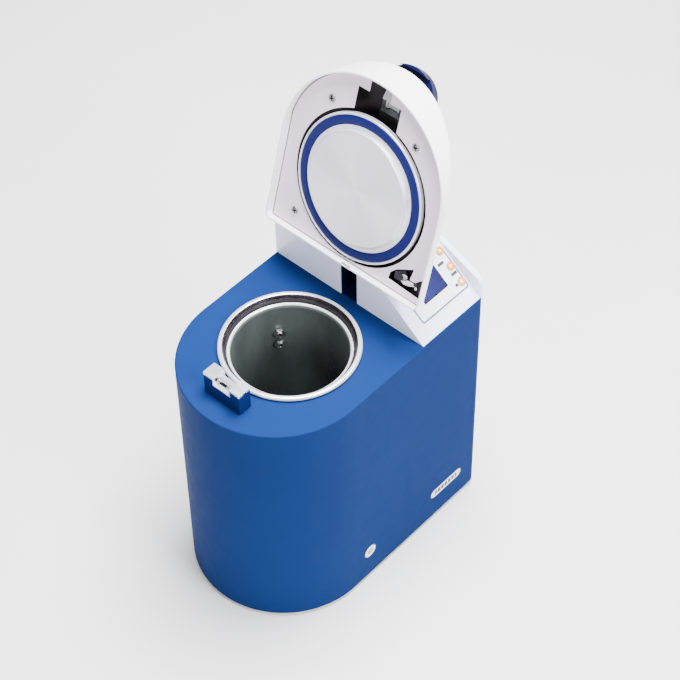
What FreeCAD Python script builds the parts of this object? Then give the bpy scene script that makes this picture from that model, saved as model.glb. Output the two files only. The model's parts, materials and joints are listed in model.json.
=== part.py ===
import FreeCAD, Part
import math
import os
from FreeCAD import Vector

# Top-loading benchtop steam steriliser, shown with its lid open.
# Millimetres, +Z up, +X to the right seen from the front, front towards -Y.
# The origin is on the floor, under the middle of the machine's footprint box.
# Lid parts are drawn in the closed position, then swung open about the hinge.

# ---------------------------------------------------------------- driving dimensions
BODY_R = 145.0          # radius of the round front, half the body width
ARC_Y = -84.0           # centre line of the round front
BODY_LENGTH = 290.0     # from the front's centre line to the flat back
BACK_CORNER_R = 14.5
FOOT_H = 8.0
DECK_Z = 431.5          # top of the blue body
SHELL_T = 2.0

CHAMBER_Y = ARC_Y + 28.0
CHAMBER_R = 85.3        # inside radius, an 8 litre chamber
CHAMBER_WALL = 1.7
CHAMBER_FLOOR_Z = 89.0
RIM_TOP_Z = 438.7
LID_SEAL_Z = 439.0      # sealing face of the gasket with the lid closed

CROWN_BASE_Z = 444.0    # where the lid's low vertical sides meet its crown
CROWN_H = 49.5
LID_WALL = 2.5
LID_LIP_Z = 432.3
LID_REAR_Y = ARC_Y + 150.0
LID_CORNER_R = 10.0
PLATE_Z = 443.0         # inner face of the lid plate
PLATE_T = 1.5
DISC_R = 111.0
DISC_HOLE_R = 116.5

HOUSING_FRONT_Y = ARC_Y + 154.0
HOUSING_WALL = 3.0
HOUSING_TOP_Z = 500.0
RIM_SLOPE_DEG = 23.7    # fall of the rear rim towards the right side
RIM_SLOPE_X = 60.0      # where that fall starts
SLOT_HALF = 15.5
SLOT_END_Y = ARC_Y + 193.0

HINGE_Y = ARC_Y + 174.9
HINGE_Z = 483.1
HINGE_PIN_R = 5.0
LID_OPEN_DEG = 106.8

KEEPER_FRONT_Y = ARC_Y - 111.0
KEEPER_BACK_Y = ARC_Y - 87.5
KEEPER_HALF = 34.8
KEEPER_TOP_Z = 471.0
KEEPER_GAP_HALF = 15.0
KEEPER_FLOOR_Z = 458.0
KEEPER_PIN_Y = ARC_Y - 99.5
KEEPER_PIN_Z = 466.5
KEEPER_PIN_R = 3.3

LATCH_Y = ARC_Y - 92.0
LATCH_Z = 486.0
LATCH_SHAFT_R = 4.0
LATCH_SWING_DEG = 26.0  # from pressed down to lifted

PANEL_TOP_X = 69.2      # a point on the sloping control panel
PANEL_TOP_Z = 490.0
PANEL_SLOPE_DEG = 38.6
PANEL_BACK_Y = ARC_Y + 281.0
BUTTON_R = 5.8
BUTTON_TRAVEL = 1.2
BUTTON_PROUD = 1.8

BACK_Y = ARC_Y + BODY_LENGTH
BASE_T = 1.5
SHELL_BOTTOM_Z = FOOT_H
CHASSIS_TOP_Z = 422.6
CHASSIS_T = 5.0
REAR_LIMIT_Y = BODY_R - ARC_Y
RUNNING_FIT = 0.05

X_AXIS = Vector(1, 0, 0)
Y_AXIS = Vector(0, 1, 0)
Z_AXIS = Vector(0, 0, 1)


# ---------------------------------------------------------------- shape helpers
def box(x0, x1, y0, y1, z0, z1):
    return Part.makeBox(x1 - x0, y1 - y0, z1 - z0, Vector(x0, y0, z0))


def rod(r, start, end):
    """A cylinder between two points."""
    run = Vector(end) - Vector(start)
    return Part.makeCylinder(r, run.Length, Vector(start), run)


def tube(r_out, r_in, start, end):
    return rod(r_out, start, end).cut(rod(r_in, start, end))


def revolve(profile, x=0.0, y=0.0):
    """Turn a closed (radius, height) polygon about a vertical axis at x, y."""
    points = [Vector(r, 0, z) for r, z in profile]
    face = Part.Face(Part.makePolygon(points + [points[0]]))
    solid = face.revolve(Vector(0, 0, 0), Z_AXIS, 360)
    return solid.translated(Vector(x, y, 0))


def plate_xy(points, z0, z1):
    """Extrude a closed (x, y) polygon upwards."""
    corners = [Vector(x, y, z0) for x, y in points]
    face = Part.Face(Part.makePolygon(corners + [corners[0]]))
    return face.extrude(Vector(0, 0, z1 - z0))


def plate_yz(points, x0, x1):
    """Extrude a closed (y, z) polygon sideways."""
    corners = [Vector(x0, y, z) for y, z in points]
    face = Part.Face(Part.makePolygon(corners + [corners[0]]))
    return face.extrude(Vector(x1 - x0, 0, 0))


def rounded_box(x0, x1, y0, y1, z0, z1, r, axis):
    """A box with its four edges along one axis rounded."""
    solid = box(x0, x1, y0, y1, z0, z1)
    edges = []
    for edge in solid.Edges:
        run = edge.Vertexes[1].Point - edge.Vertexes[0].Point
        if abs(run.normalize().dot(axis)) > 0.99:
            edges.append(edge)
    return solid.makeFillet(r, edges)


def d_outline(inset, y_back, corner_r, z):
    """The plan outline: a half circle in front, straight sides, a flat back."""
    r = BODY_R - inset
    y1 = y_back - inset
    left = Vector(-r, ARC_Y, z)
    right = Vector(r, ARC_Y, z)
    front = Vector(0, ARC_Y - r, z)
    c = max(corner_r - inset, 0.5)
    mid = c * (1 - math.sqrt(0.5))
    edges = [
        Part.Arc(left, front, right).toShape(),
        Part.makeLine(right, Vector(r, y1 - c, z)),
        Part.Arc(Vector(r, y1 - c, z), Vector(r - mid, y1 - mid, z), Vector(r - c, y1, z)).toShape(),
        Part.makeLine(Vector(r - c, y1, z), Vector(c - r, y1, z)),
        Part.Arc(Vector(c - r, y1, z), Vector(mid - r, y1 - mid, z), Vector(-r, y1 - c, z)).toShape(),
        Part.makeLine(Vector(-r, y1 - c, z), left),
    ]
    return Part.Wire(edges)


def d_prism(inset, y_back, corner_r, z0, z1):
    face = Part.Face(d_outline(inset, y_back, corner_r, z0))
    return face.extrude(Vector(0, 0, z1 - z0))


def crown_height(x, inset=0.0):
    """Height of the lid's circular crown at sideways distance x."""
    chord = BODY_R
    radius = (chord * chord + CROWN_H * CROWN_H) / (2 * CROWN_H)
    centre_z = CROWN_BASE_Z + CROWN_H - radius
    return centre_z + math.sqrt((radius - inset) ** 2 - x * x)


def crown_prism(inset, y0, y1, z0):
    """Block whose top is the lid's circular crown, a little wider than the lid."""
    a = BODY_R - inset + 2.0
    side_z = crown_height(a, inset)
    left = Vector(-a, y0, side_z)
    right = Vector(a, y0, side_z)
    edges = [
        Part.Arc(left, Vector(0, y0, crown_height(0, inset)), right).toShape(),
        Part.makeLine(right, Vector(a, y0, z0)),
        Part.makeLine(Vector(a, y0, z0), Vector(-a, y0, z0)),
        Part.makeLine(Vector(-a, y0, z0), left),
    ]
    return Part.Face(Part.Wire(edges)).extrude(Vector(0, y1 - y0, 0))


def union(shapes):
    result = shapes[0]
    for shape in shapes[1:]:
        result = result.fuse(shape)
    return result.removeSplitter()


def group(shapes):
    """Separate solids kept side by side in one part."""
    solids = []
    for shape in shapes:
        solids.extend(shape.Solids)
    return Part.makeCompound(solids)


def edges_where(shape, test):
    return [edge for edge in shape.Edges if test(edge.BoundBox)]


def pan_head_screw(point, direction, head_r=4.0, head_h=2.2, shank_r=1.9, shank=8.0):
    """A screw whose head sits on point and whose shank runs along direction."""
    head = Part.makeCylinder(head_r, head_h, point, -direction)
    rims = [edge for edge in head.Edges if len(edge.Vertexes) == 1]
    rims.sort(key=lambda edge: edge.CenterOfMass.distanceToPoint(point))
    head = head.makeFillet(head_h * 0.45, [rims[-1]])
    return head.fuse(Part.makeCylinder(shank_r, shank, point, direction))


# ---------------------------------------------------------------- blue body and base
FOOT_PLACES = [(x, y) for x in (-92.0, 92.0) for y in (ARC_Y - 78.0, BACK_Y - 40.0)]
REAR_OPENING = (-112.0, 112.0, 48.0, 396.0)     # x0, x1, z0, z1 in the back wall
OVAL_BADGE = (ARC_Y + 214.6, 60.0, 74.0, 20.0)  # y, z, length, height on the right side
ROUND_BADGE = (ARC_Y + 36.0, 64.0, 13.0)        # y, z, radius
BADGE_T = 1.2


def oval_on_side(y, z, length, height, x0, x1):
    r = height / 2
    half = length / 2 - r
    bar = box(x0, x1, y - half, y + half, z - r, z + r)
    ends = [rod(r, (x0, y + s * half, z), (x1, y + s * half, z)) for s in (-1, 1)]
    return union([bar] + ends)


def body_shell():
    """Blue D-shaped body: side wrap and deck in one piece, open underneath."""
    outer = d_prism(0, BACK_Y, BACK_CORNER_R, SHELL_BOTTOM_Z, DECK_Z)
    outer = outer.makeFillet(2.5, edges_where(outer, lambda b: b.ZMin > DECK_Z - 0.1))
    inner = d_prism(SHELL_T, BACK_Y, BACK_CORNER_R, SHELL_BOTTOM_Z - 1, DECK_Z - 2.5)
    shell = outer.cut(inner)
    shell = shell.cut(rod(98.5, (0, CHAMBER_Y, DECK_Z - 5), (0, CHAMBER_Y, DECK_Z + 1)))
    hinge_hole = box(-25, 25, HOUSING_FRONT_Y + 6, BACK_Y - 12, DECK_Z - 5, DECK_Z + 1)
    wiring_hole = box(50, 105, HOUSING_FRONT_Y + 30, BACK_Y - 20, DECK_Z - 5, DECK_Z + 1)
    x0, x1, z0, z1 = REAR_OPENING
    rear = box(x0, x1, BACK_Y - 5, BACK_Y + 1, z0, z1)
    oval = oval_on_side(*OVAL_BADGE, BODY_R - BADGE_T, BODY_R + 1)
    y, z, r = ROUND_BADGE
    round_pocket = rod(r, (BODY_R - BADGE_T, y, z), (BODY_R + 1, y, z))
    return shell.cut([hinge_hole, wiring_hole, rear, oval, round_pocket])


def oval_badge():
    y, z, length, height = OVAL_BADGE
    return oval_on_side(y, z, length - 0.4, height - 0.4, BODY_R - BADGE_T, BODY_R)


def round_badge():
    y, z, r = ROUND_BADGE
    return rod(r - 0.2, (BODY_R - BADGE_T, y, z), (BODY_R, y, z))


def base_plate():
    plate = d_prism(SHELL_T + 0.2, BACK_Y, BACK_CORNER_R, SHELL_BOTTOM_Z, SHELL_BOTTOM_Z + BASE_T)
    vents = [
        rounded_box(-40, 40, y, y + 6, SHELL_BOTTOM_Z - 1, SHELL_BOTTOM_Z + 3, 2.9, Z_AXIS)
        for y in [ARC_Y - 30 + 14 * i for i in range(5)]
    ]
    return plate.cut(vents)


def feet():
    """Four rubber feet, slightly tapered."""
    profile = [(0, 0), (10, 0), (12, FOOT_H), (0, FOOT_H)]
    return group([revolve(profile, x, y) for x, y in FOOT_PLACES])


def rear_panel():
    """Louvred service panel screwed over the opening in the back."""
    x0, x1, z0, z1 = REAR_OPENING
    plate = rounded_box(x0 - 8, x1 + 8, BACK_Y, BACK_Y + 1.5, z0 - 8, z1 + 8, 6, Y_AXIS)
    cuts = []
    for row in range(8):
        for x in (-78.0, 22.0):
            z = 290.0 + 11.0 * row
            cuts.append(rounded_box(x, x + 56, BACK_Y - 1, BACK_Y + 3, z, z + 4, 1.9, Y_AXIS))
    cuts.append(box(*INLET_HOLE[:2], BACK_Y - 1, BACK_Y + 3, *INLET_HOLE[2:]))
    cuts.append(box(*SWITCH_HOLE[:2], BACK_Y - 1, BACK_Y + 3, *SWITCH_HOLE[2:]))
    for x in FUSE_X:
        cuts.append(rod(6.2, (x, BACK_Y - 1, FUSE_Z), (x, BACK_Y + 3, FUSE_Z)))
    cuts.append(rod(7.0, (DRAIN_X, BACK_Y - 1, DRAIN_Z), (DRAIN_X, BACK_Y + 3, DRAIN_Z)))
    cuts.append(rod(5.5, (EXHAUST_X, BACK_Y - 1, EXHAUST_Z), (EXHAUST_X, BACK_Y + 3, EXHAUST_Z)))
    return plate.cut(cuts)


def rear_screws():
    x0, x1, z0, z1 = REAR_OPENING
    heads = []
    for x in (x0 - 4, 0, x1 + 4):
        for z in (z0 - 4, z1 + 4):
            heads.append(rod(3.0, (x, BACK_Y + 1.5, z), (x, BACK_Y + 3.3, z)))
    return group(heads)


# ---------------------------------------------------------------- pressure chamber
RIM_TUBE_R = 3.2
RIM_R = 103.8
FLANGE_R = 109.0
NUT_ANGLE_DEG = 145.0
NUT_Z = (372.0, 350.0)


def chamber_vessel():
    """Deep-drawn stainless cup with a rolled mouth and a flat outer flange."""
    r = CHAMBER_R
    w = CHAMBER_WALL
    z = CHAMBER_FLOOR_Z
    top = RIM_TOP_Z - 11.0
    seat = CHASSIS_TOP_Z + 2.0
    profile = [
        (0, z), (r - 22, z + 1), (r - 9, z + 5), (r - 2.5, z + 12), (r, z + 22),
        (r, top - 5), (r + 1.4, top - 1.6), (r + 3.0, top - 0.2), (r + 4.6, top),
        (r + 5.6, top - 0.9), (r + 5.8, seat), (FLANGE_R, seat), (FLANGE_R, CHASSIS_TOP_Z),
        (r + w, CHASSIS_TOP_Z), (r + w, z + 22), (r - 1, z + 11), (r - 8, z + 3.4),
        (r - 22, z - w + 0.8), (0, z - w),
    ]
    cup = revolve(profile, 0, CHAMBER_Y)
    holes = [wall_rod(5.05, a, r - 6, r + 8, zz) for a, zz in wall_fittings()]
    holes.append(rod(6.05, (0, CHAMBER_Y, z - 5), (0, CHAMBER_Y, z + 5)))
    return cup.cut(holes)


def wall_fittings():
    return [(NUT_ANGLE_DEG, z) for z in NUT_Z]


def wall_point(angle, r, z):
    a = math.radians(angle)
    return Vector(r * math.cos(a), CHAMBER_Y + r * math.sin(a), z)


def wall_rod(radius, angle, r0, r1, z):
    return rod(radius, wall_point(angle, r0, z), wall_point(angle, r1, z))


def chamber_rim():
    """Polished rolled rim that the lid gasket presses on, with an inner ledge."""
    c = RIM_R - RIM_TUBE_R
    t = RIM_TOP_Z
    arc = []
    for i in range(9):
        a = math.radians(90 - 22.5 * i)
        arc.append((c + RIM_TUBE_R * math.cos(a), t - RIM_TUBE_R + RIM_TUBE_R * math.sin(a)))
    inner = 95.4
    skirt = 97.0
    foot = CHASSIS_TOP_Z + 2.0
    profile = [(inner + 2.4, t), *arc, (skirt, t - 2 * RIM_TUBE_R), (skirt, foot), (inner, foot)]
    profile += [(inner, t - 7.2), (93.2, t - 7.2), (93.0, t - 6.6), (93.4, t - 6.0), (inner, t - 6.0)]
    profile += [(inner, t - 2.4), (inner + 0.7, t - 0.7)]
    return revolve(profile, 0, CHAMBER_Y)


def mouth_ring():
    """Black silicone ring between the rolled rim and the vessel mouth."""
    foot = CHASSIS_TOP_Z + 2.0
    profile = [(91.4, foot), (95.3, foot), (95.3, RIM_TOP_Z - 7.3), (92.4, RIM_TOP_Z - 7.3), (91.4, RIM_TOP_Z - 9)]
    return revolve(profile, 0, CHAMBER_Y)


def chassis_plate():
    """Steel plate under the deck that ties keeper, chamber flange and hinge together."""
    z0 = CHASSIS_TOP_Z - CHASSIS_T
    plate = d_prism(14, BACK_Y - 12, 10, z0, CHASSIS_TOP_Z)
    hole = rod(CHAMBER_R + CHAMBER_WALL + 0.3, (0, CHAMBER_Y, z0 - 1), (0, CHAMBER_Y, z0 + 9))
    wiring = box(48, 108, HOUSING_FRONT_Y + 28, BACK_Y - 30, z0 - 1, z0 + 9)
    return plate.cut([hole, wiring])


def chassis_posts():
    """Four tubular posts that carry the chassis plate."""
    z0 = SHELL_BOTTOM_Z + BASE_T
    z1 = CHASSIS_TOP_Z - CHASSIS_T
    places = [(-82, ARC_Y - 76), (82, ARC_Y - 76), (-118, BACK_Y - 40), (118, BACK_Y - 40)]
    return group([tube(7, 5.5, (x, y, z0), (x, y, z1)) for x, y in places])


def flange_bolts():
    bolts = []
    seat = CHASSIS_TOP_Z + 2.0
    for i in range(8):
        a = 22.5 + 45 * i
        p = wall_point(a, 102.6, seat)
        bolts.append(rod(4.0, p, p + Vector(0, 0, 3.5)))
    return group(bolts)


def band_heater():
    r = CHAMBER_R + CHAMBER_WALL
    band = tube(r + 3.0, r, (0, CHAMBER_Y, 130), (0, CHAMBER_Y, 190))
    lug = box(-8, 8, CHAMBER_Y + r + 2.5, CHAMBER_Y + r + 12, 150, 170)
    return band.fuse(lug)


def insulation_jacket():
    """Fibre jacket round the chamber, split round the heater's terminals and pipes."""
    r = CHAMBER_R + CHAMBER_WALL
    jacket = tube(r + 16, r + 3.2, (0, CHAMBER_Y, 112), (0, CHAMBER_Y, 412))
    gaps = [box(-12, 12, CHAMBER_Y + r, CHAMBER_Y + r + 30, 140, 180)]
    gaps += [wall_rod(16, NUT_ANGLE_DEG, r - 2, r + 30, z) for z in NUT_Z]
    return jacket.cut(gaps)


def hexagon(centre, direction, across, length):
    """Hexagonal prism from centre along direction."""
    side = direction.cross(Z_AXIS).normalize()
    up = side.cross(direction).normalize()
    r = across / math.sqrt(3)
    points = []
    for i in range(6):
        a = math.radians(60 * i)
        points.append(centre + side * (r * math.cos(a)) + up * (r * math.sin(a)))
    face = Part.Face(Part.makePolygon(points + [points[0]]))
    return face.extrude(direction * length)


def chamber_fittings():
    """Steam outlet and filling port through the chamber wall, nuts inside and outside."""
    out = []
    for angle, z in wall_fittings():
        r_in = CHAMBER_R
        r_out = CHAMBER_R + CHAMBER_WALL
        inward = wall_point(angle, 1, z) - wall_point(angle, 2, z)
        stem = wall_rod(5.0, angle, r_in - 8, r_out + 12, z)
        nut_in = hexagon(wall_point(angle, r_in - 0.9, z), inward, 15, 5)
        nut_out = hexagon(wall_point(angle, r_out + 0.2, z), -inward, 15, 6)
        bore = wall_rod(3.0, angle, r_in - 9, r_out + 13, z)
        out.append(union([stem, nut_in, nut_out]).cut(bore))
    return group(out)


# ---------------------------------------------------------------- keeper in front
def keeper_pedestal():
    """Blue block on the deck; the hook drops into the gap in its top."""
    x = KEEPER_HALF
    y0 = KEEPER_FRONT_Y
    y1 = KEEPER_BACK_Y
    block = rounded_box(-x, x, y0, y1, DECK_Z, KEEPER_TOP_Z - 4, 2.5, Z_AXIS)
    gap = box(-KEEPER_GAP_HALF - 2, KEEPER_GAP_HALF + 2, y0 - 1, y1 + 1, KEEPER_FLOOR_Z - 2, 500)
    return block.cut(gap)


def keeper_cap():
    """Polished steel bracket: a low saddle between two square ears."""
    y0 = KEEPER_FRONT_Y
    y1 = KEEPER_BACK_Y
    g = KEEPER_GAP_HALF
    saddle = box(-g - 2, g + 2, y0, y1, KEEPER_FLOOR_Z - 2, KEEPER_FLOOR_Z)
    parts = [saddle]
    for s in (-1, 1):
        lo, hi = sorted((s * g, s * KEEPER_HALF))
        ear = rounded_box(lo, hi, y0, y1, KEEPER_TOP_Z - 4, KEEPER_TOP_Z, 1.8, Z_AXIS)
        lo, hi = sorted((s * g, s * (g + 2)))
        cheek = box(lo, hi, y0, y1, KEEPER_FLOOR_Z - 2, KEEPER_TOP_Z - 3)
        parts += [ear, cheek]
    cap = union(parts)
    bore = rod(KEEPER_PIN_R, (-60, KEEPER_PIN_Y, KEEPER_PIN_Z), (60, KEEPER_PIN_Y, KEEPER_PIN_Z))
    return cap.cut(bore)


def keeper_pin():
    half = KEEPER_GAP_HALF + 2.0
    return rod(KEEPER_PIN_R, (-half, KEEPER_PIN_Y, KEEPER_PIN_Z), (half, KEEPER_PIN_Y, KEEPER_PIN_Z))


# ---------------------------------------------------------------- rear housing
def panel_axes():
    a = math.radians(PANEL_SLOPE_DEG)
    down = Vector(math.cos(a), 0, -math.sin(a))
    out = Vector(math.sin(a), 0, math.cos(a))
    return down, out


def panel_point(t, y, h):
    """A point at slope distance t, depth y and height h over the panel plane."""
    down, out = panel_axes()
    return Vector(PANEL_TOP_X, y, PANEL_TOP_Z) + down * t + out * h


def panel_slab(t0, t1, y0, y1, h0, h1, r=0.0):
    """A block lying on the sloping panel, with its outline corners rounded."""
    slab = Part.makeBox(t1 - t0, y1 - y0, h1 - h0, Vector(t0, y0, h0))
    if r > 0:
        uprights = [e for e in slab.Edges if e.BoundBox.ZLength > (h1 - h0) * 0.9 and e.BoundBox.XLength < 0.1
                    and e.BoundBox.YLength < 0.1]
        slab = slab.makeFillet(r, uprights)
    slab.rotate(Vector(0, 0, 0), Y_AXIS, PANEL_SLOPE_DEG)
    slab.translate(Vector(PANEL_TOP_X, 0, PANEL_TOP_Z))
    return slab


def housing_block(inset):
    """Block behind the lid: square on the left, sloping down to the right side,
    with the control panel facet cut into it in front of a raised rear rim."""
    y0 = HOUSING_FRONT_Y + inset
    x1 = BODY_R - inset
    top = HOUSING_TOP_Z - inset
    slope = math.radians(RIM_SLOPE_DEG)
    fall = math.tan(slope)
    lift = HOUSING_TOP_Z + RIM_SLOPE_X * fall - inset / math.cos(slope)
    knee_x = (lift - top) / fall
    profile = [(-x1, DECK_Z), (x1, DECK_Z), (x1, lift - x1 * fall), (knee_x, top), (-x1, top)]
    corners = [Vector(x, y0, z) for x, z in profile]
    section = Part.Face(Part.makePolygon(corners + [corners[0]]))
    block = section.extrude(Vector(0, BACK_Y - inset - y0, 0))
    rounds = ((x1, corners[2].z, 20.0 - inset), (knee_x, top, 60.0), (-x1, top, 8.0 - inset))
    for x, z, r in rounds:
        ridge = [e for e in block.Edges if e.BoundBox.Center.distanceToPoint(Vector(x, e.BoundBox.Center.y, z)) < 0.01]
        block = block.makeFillet(r, ridge)
    block = block.common(d_prism(inset, BACK_Y, BACK_CORNER_R, DECK_Z - 1, 520))
    nose_r = 8.0
    side = [(y0, DECK_Z - 2), (y0, top - nose_r)]
    for i in range(1, 9):
        a = math.radians(11.25 * i)
        side.append((y0 + nose_r * (1 - math.cos(a)), top - nose_r * (1 - math.sin(a))))
    side += [(BACK_Y + 10, top), (BACK_Y + 10, DECK_Z - 2)]
    block = block.common(plate_yz(side, -200, 200))
    wedge = panel_slab(-60, 160, HOUSING_FRONT_Y - 20, PANEL_BACK_Y + inset, -inset, 80)
    return block.cut(wedge)


BUTTONS = [56.9, 29.4, 2.3]             # slope distances of the three buttons
BUTTON_Y = ARC_Y + 270.5
DISPLAY = (12.0, 49.0, ARC_Y + 198.0, ARC_Y + 248.0)
OVERLAY = (-3.9, 71.0, ARC_Y + 174.5, ARC_Y + 279.0)
OVERLAY_T = 0.6


def button_rods(r, h0, h1):
    return [rod(r, panel_point(t, BUTTON_Y, h0), panel_point(t, BUTTON_Y, h1)) for t in BUTTONS]


def rear_housing():
    """White housing over the hinge, with the sloping control panel on the right."""
    outer = housing_block(0)
    inner = housing_block(HOUSING_WALL).cut(box(-200, 200, -400, 400, 0, DECK_Z))
    shell = outer.cut(inner)
    divider = box(-SLOT_HALF - 1.5, SLOT_HALF + 1.5, HOUSING_FRONT_Y, SLOT_END_Y + 1.5, DECK_Z, 520)
    shell = shell.fuse(divider.common(outer))
    slot = box(-SLOT_HALF, SLOT_HALF, HOUSING_FRONT_Y - 1, SLOT_END_Y, DECK_Z - 1, 520)
    t0, t1, y0, y1 = DISPLAY
    window = panel_slab(t0 + 2, t1 - 2, y0 + 2, y1 - 2, -10, 5)
    pin_way = rod(8, (-40, HINGE_Y, HINGE_Z), (40, HINGE_Y, HINGE_Z))
    return shell.cut([slot, window, pin_way] + button_rods(BUTTON_R + 0.5, -12, 5))


def slot_liner():
    """Navy channel that lines the hinge slot."""
    outer = box(-SLOT_HALF, SLOT_HALF, HOUSING_FRONT_Y + 1, SLOT_END_Y, DECK_Z, 520)
    outer = outer.common(housing_block(0.4))
    core = box(-SLOT_HALF + 2, SLOT_HALF - 2, HOUSING_FRONT_Y - 1, SLOT_END_Y - 2, DECK_Z + 2, 520)
    pin_way = rod(HINGE_PIN_R + 0.4, (-40, HINGE_Y, HINGE_Z), (40, HINGE_Y, HINGE_Z))
    return outer.cut([core, pin_way])


def hinge_bracket():
    """Two steel cheeks beside the slot, on a foot bolted to the chassis plate."""
    cheeks = []
    z0 = CHASSIS_TOP_Z
    for s in (-1, 1):
        lo, hi = sorted((s * (SLOT_HALF + 1.8), s * (SLOT_HALF + 5.8)))
        outline = [
            (HOUSING_FRONT_Y + 8, z0), (SLOT_END_Y + 20, z0), (SLOT_END_Y + 20, z0 + 12),
            (HINGE_Y + 11, HINGE_Z), (HINGE_Y + 6, HINGE_Z + 9), (HINGE_Y - 6, HINGE_Z + 9),
            (HINGE_Y - 11, HINGE_Z),
        ]
        cheeks.append(plate_yz(outline, lo, hi))
    foot = box(-SLOT_HALF - 5.8, SLOT_HALF + 5.8, HOUSING_FRONT_Y + 8, SLOT_END_Y + 20, z0, z0 + 4)
    bracket = union(cheeks + [foot])
    bore = rod(HINGE_PIN_R, (-40, HINGE_Y, HINGE_Z), (40, HINGE_Y, HINGE_Z))
    return bracket.cut(bore)


def hinge_pin():
    reach = SLOT_HALF + 7.5
    return rod(HINGE_PIN_R, (-reach, HINGE_Y, HINGE_Z), (reach, HINGE_Y, HINGE_Z))


def panel_overlay():
    """Label sheet on the sloping panel with cut-outs for the display and buttons."""
    sheet = panel_slab(*OVERLAY, 0, OVERLAY_T, 6)
    t0, t1, y0, y1 = DISPLAY
    window = panel_slab(t0, t1, y0, y1, -1, 2, 2)
    return sheet.cut([window] + button_rods(BUTTON_R + 0.3, -2, 3))


def display_window():
    t0, t1, y0, y1 = DISPLAY
    front = panel_slab(t0 + 0.1, t1 - 0.1, y0 + 0.1, y1 - 0.1, 0, OVERLAY_T + 0.3, 1.9)
    back = panel_slab(t0 + 2.2, t1 - 2.2, y0 + 2.2, y1 - 2.2, -5, 0)
    return union([front, back])


def button(t):
    """Round push button: cap, stem and retaining collar."""
    cap = rod(BUTTON_R, panel_point(t, BUTTON_Y, -1.6), panel_point(t, BUTTON_Y, OVERLAY_T + BUTTON_PROUD))
    rim = [e for e in cap.Edges if e.Closed and len(e.Vertexes) == 1]
    rim.sort(key=lambda e: e.CenterOfMass.z)
    cap = cap.makeFillet(0.7, [rim[-1]])
    stem = rod(2.2, panel_point(t, BUTTON_Y, -8), panel_point(t, BUTTON_Y, -1.4))
    collar = rod(BUTTON_R + 1.6, panel_point(t, BUTTON_Y, -6.2), panel_point(t, BUTTON_Y, -5.0))
    return union([cap, stem, collar])


def control_board():
    """Circuit board under the panel, with three key switches and the display socket."""
    board = panel_slab(-2, 68, ARC_Y + 190, ARC_Y + 277, -15.6, -14)
    keys = button_rods(3.0, -14.1, -9.6)
    chip = panel_slab(20, 34, ARC_Y + 205, ARC_Y + 219, -14.1, -12)
    carrier = panel_slab(14, 47, ARC_Y + 200, ARC_Y + 246, -8.2, -6)
    legs = [panel_slab(t, t + 2, y, y + 2, -14.1, -8.1) for t in (15, 44) for y in (ARC_Y + 202, ARC_Y + 242)]
    return union([board, chip, carrier] + keys + legs)


# ---------------------------------------------------------------- rear services
INLET_HOLE = (-96.0, -66.0, 66.0, 90.0)
SWITCH_HOLE = (-51.0, -30.0, 64.0, 92.0)
SWITCH_X = -40.5
SWITCH_Z = 78.0
FUSE_X = (-10.0, 14.0)
FUSE_Z = 78.0
DRAIN_X = 74.0
DRAIN_Z = 80.0
KNOB_R = 13.0
KNOB_Z = DRAIN_Z + 34.0
EXHAUST_X = 40.0
EXHAUST_Z = 80.0
PANEL_OUT_Y = BACK_Y + 1.5


def power_inlet():
    """Recessed three-pole mains inlet with its flange outside the rear panel."""
    x0, x1, z0, z1 = INLET_HOLE
    xc = (x0 + x1) / 2
    zc = (z0 + z1) / 2
    flange = rounded_box(x0 - 9, x1 + 9, PANEL_OUT_Y, PANEL_OUT_Y + 3, z0 - 3, z1 + 3, 3, Y_AXIS)
    body = box(x0 + 0.3, x1 - 0.3, PANEL_OUT_Y - 26, PANEL_OUT_Y + 0.5, z0 + 0.3, z1 - 0.3)
    socket = rounded_box(x0 + 3, x1 - 3, PANEL_OUT_Y - 16, PANEL_OUT_Y + 6, z0 + 4, z1 - 4, 3, Y_AXIS)
    shell = union([flange, body]).cut(socket)
    blades = [box(xc + dx - 2, xc + dx + 2, PANEL_OUT_Y - 17, PANEL_OUT_Y - 4, zc + dz - 1, zc + dz + 1)
              for dx, dz in ((-7, -2), (0, 2), (7, -2))]
    return union([shell] + blades)


def power_switch_frame():
    x0, x1, z0, z1 = SWITCH_HOLE
    flange = rounded_box(x0 - 2, x1 + 2, PANEL_OUT_Y, PANEL_OUT_Y + 2, z0 - 2, z1 + 2, 1.5, Y_AXIS)
    body = box(x0 + 0.3, x1 - 0.3, PANEL_OUT_Y - 20, PANEL_OUT_Y + 0.5, z0 + 0.3, z1 - 0.3)
    well = box(x0 + 2, x1 - 2, PANEL_OUT_Y - 12, PANEL_OUT_Y + 5, z0 + 2, z1 - 2)
    return union([flange, body]).cut(well)


def power_rocker():
    """Rocker of the mains switch, drawn with its lower half pressed in."""
    x0, x1, z0, z1 = SWITCH_HOLE
    y = PANEL_OUT_Y
    half = 9.8
    outline = [
        (y - 6, SWITCH_Z - half), (y + 0.6, SWITCH_Z - half), (y + 1.2, SWITCH_Z), (y + 4.4, SWITCH_Z + half),
        (y - 4, SWITCH_Z + half), (y - 8, SWITCH_Z + 3), (y - 8, SWITCH_Z - 3),
    ]
    return plate_yz(outline, x0 + 2.6, x1 - 2.6)


def fuse_holders():
    holders = []
    for x in FUSE_X:
        barrel = rod(6.0, (x, PANEL_OUT_Y - 30, FUSE_Z), (x, PANEL_OUT_Y + 0.2, FUSE_Z))
        flange = rod(8.0, (x, PANEL_OUT_Y, FUSE_Z), (x, PANEL_OUT_Y + 2.5, FUSE_Z))
        cap = rod(5.8, (x, PANEL_OUT_Y + 2, FUSE_Z), (x, PANEL_OUT_Y + 8, FUSE_Z))
        slot = box(x - 4, x + 4, PANEL_OUT_Y + 7, PANEL_OUT_Y + 9, FUSE_Z - 0.6, FUSE_Z + 0.6)
        holders.append(union([barrel, flange, cap]).cut(slot))
    return group(holders)


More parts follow.
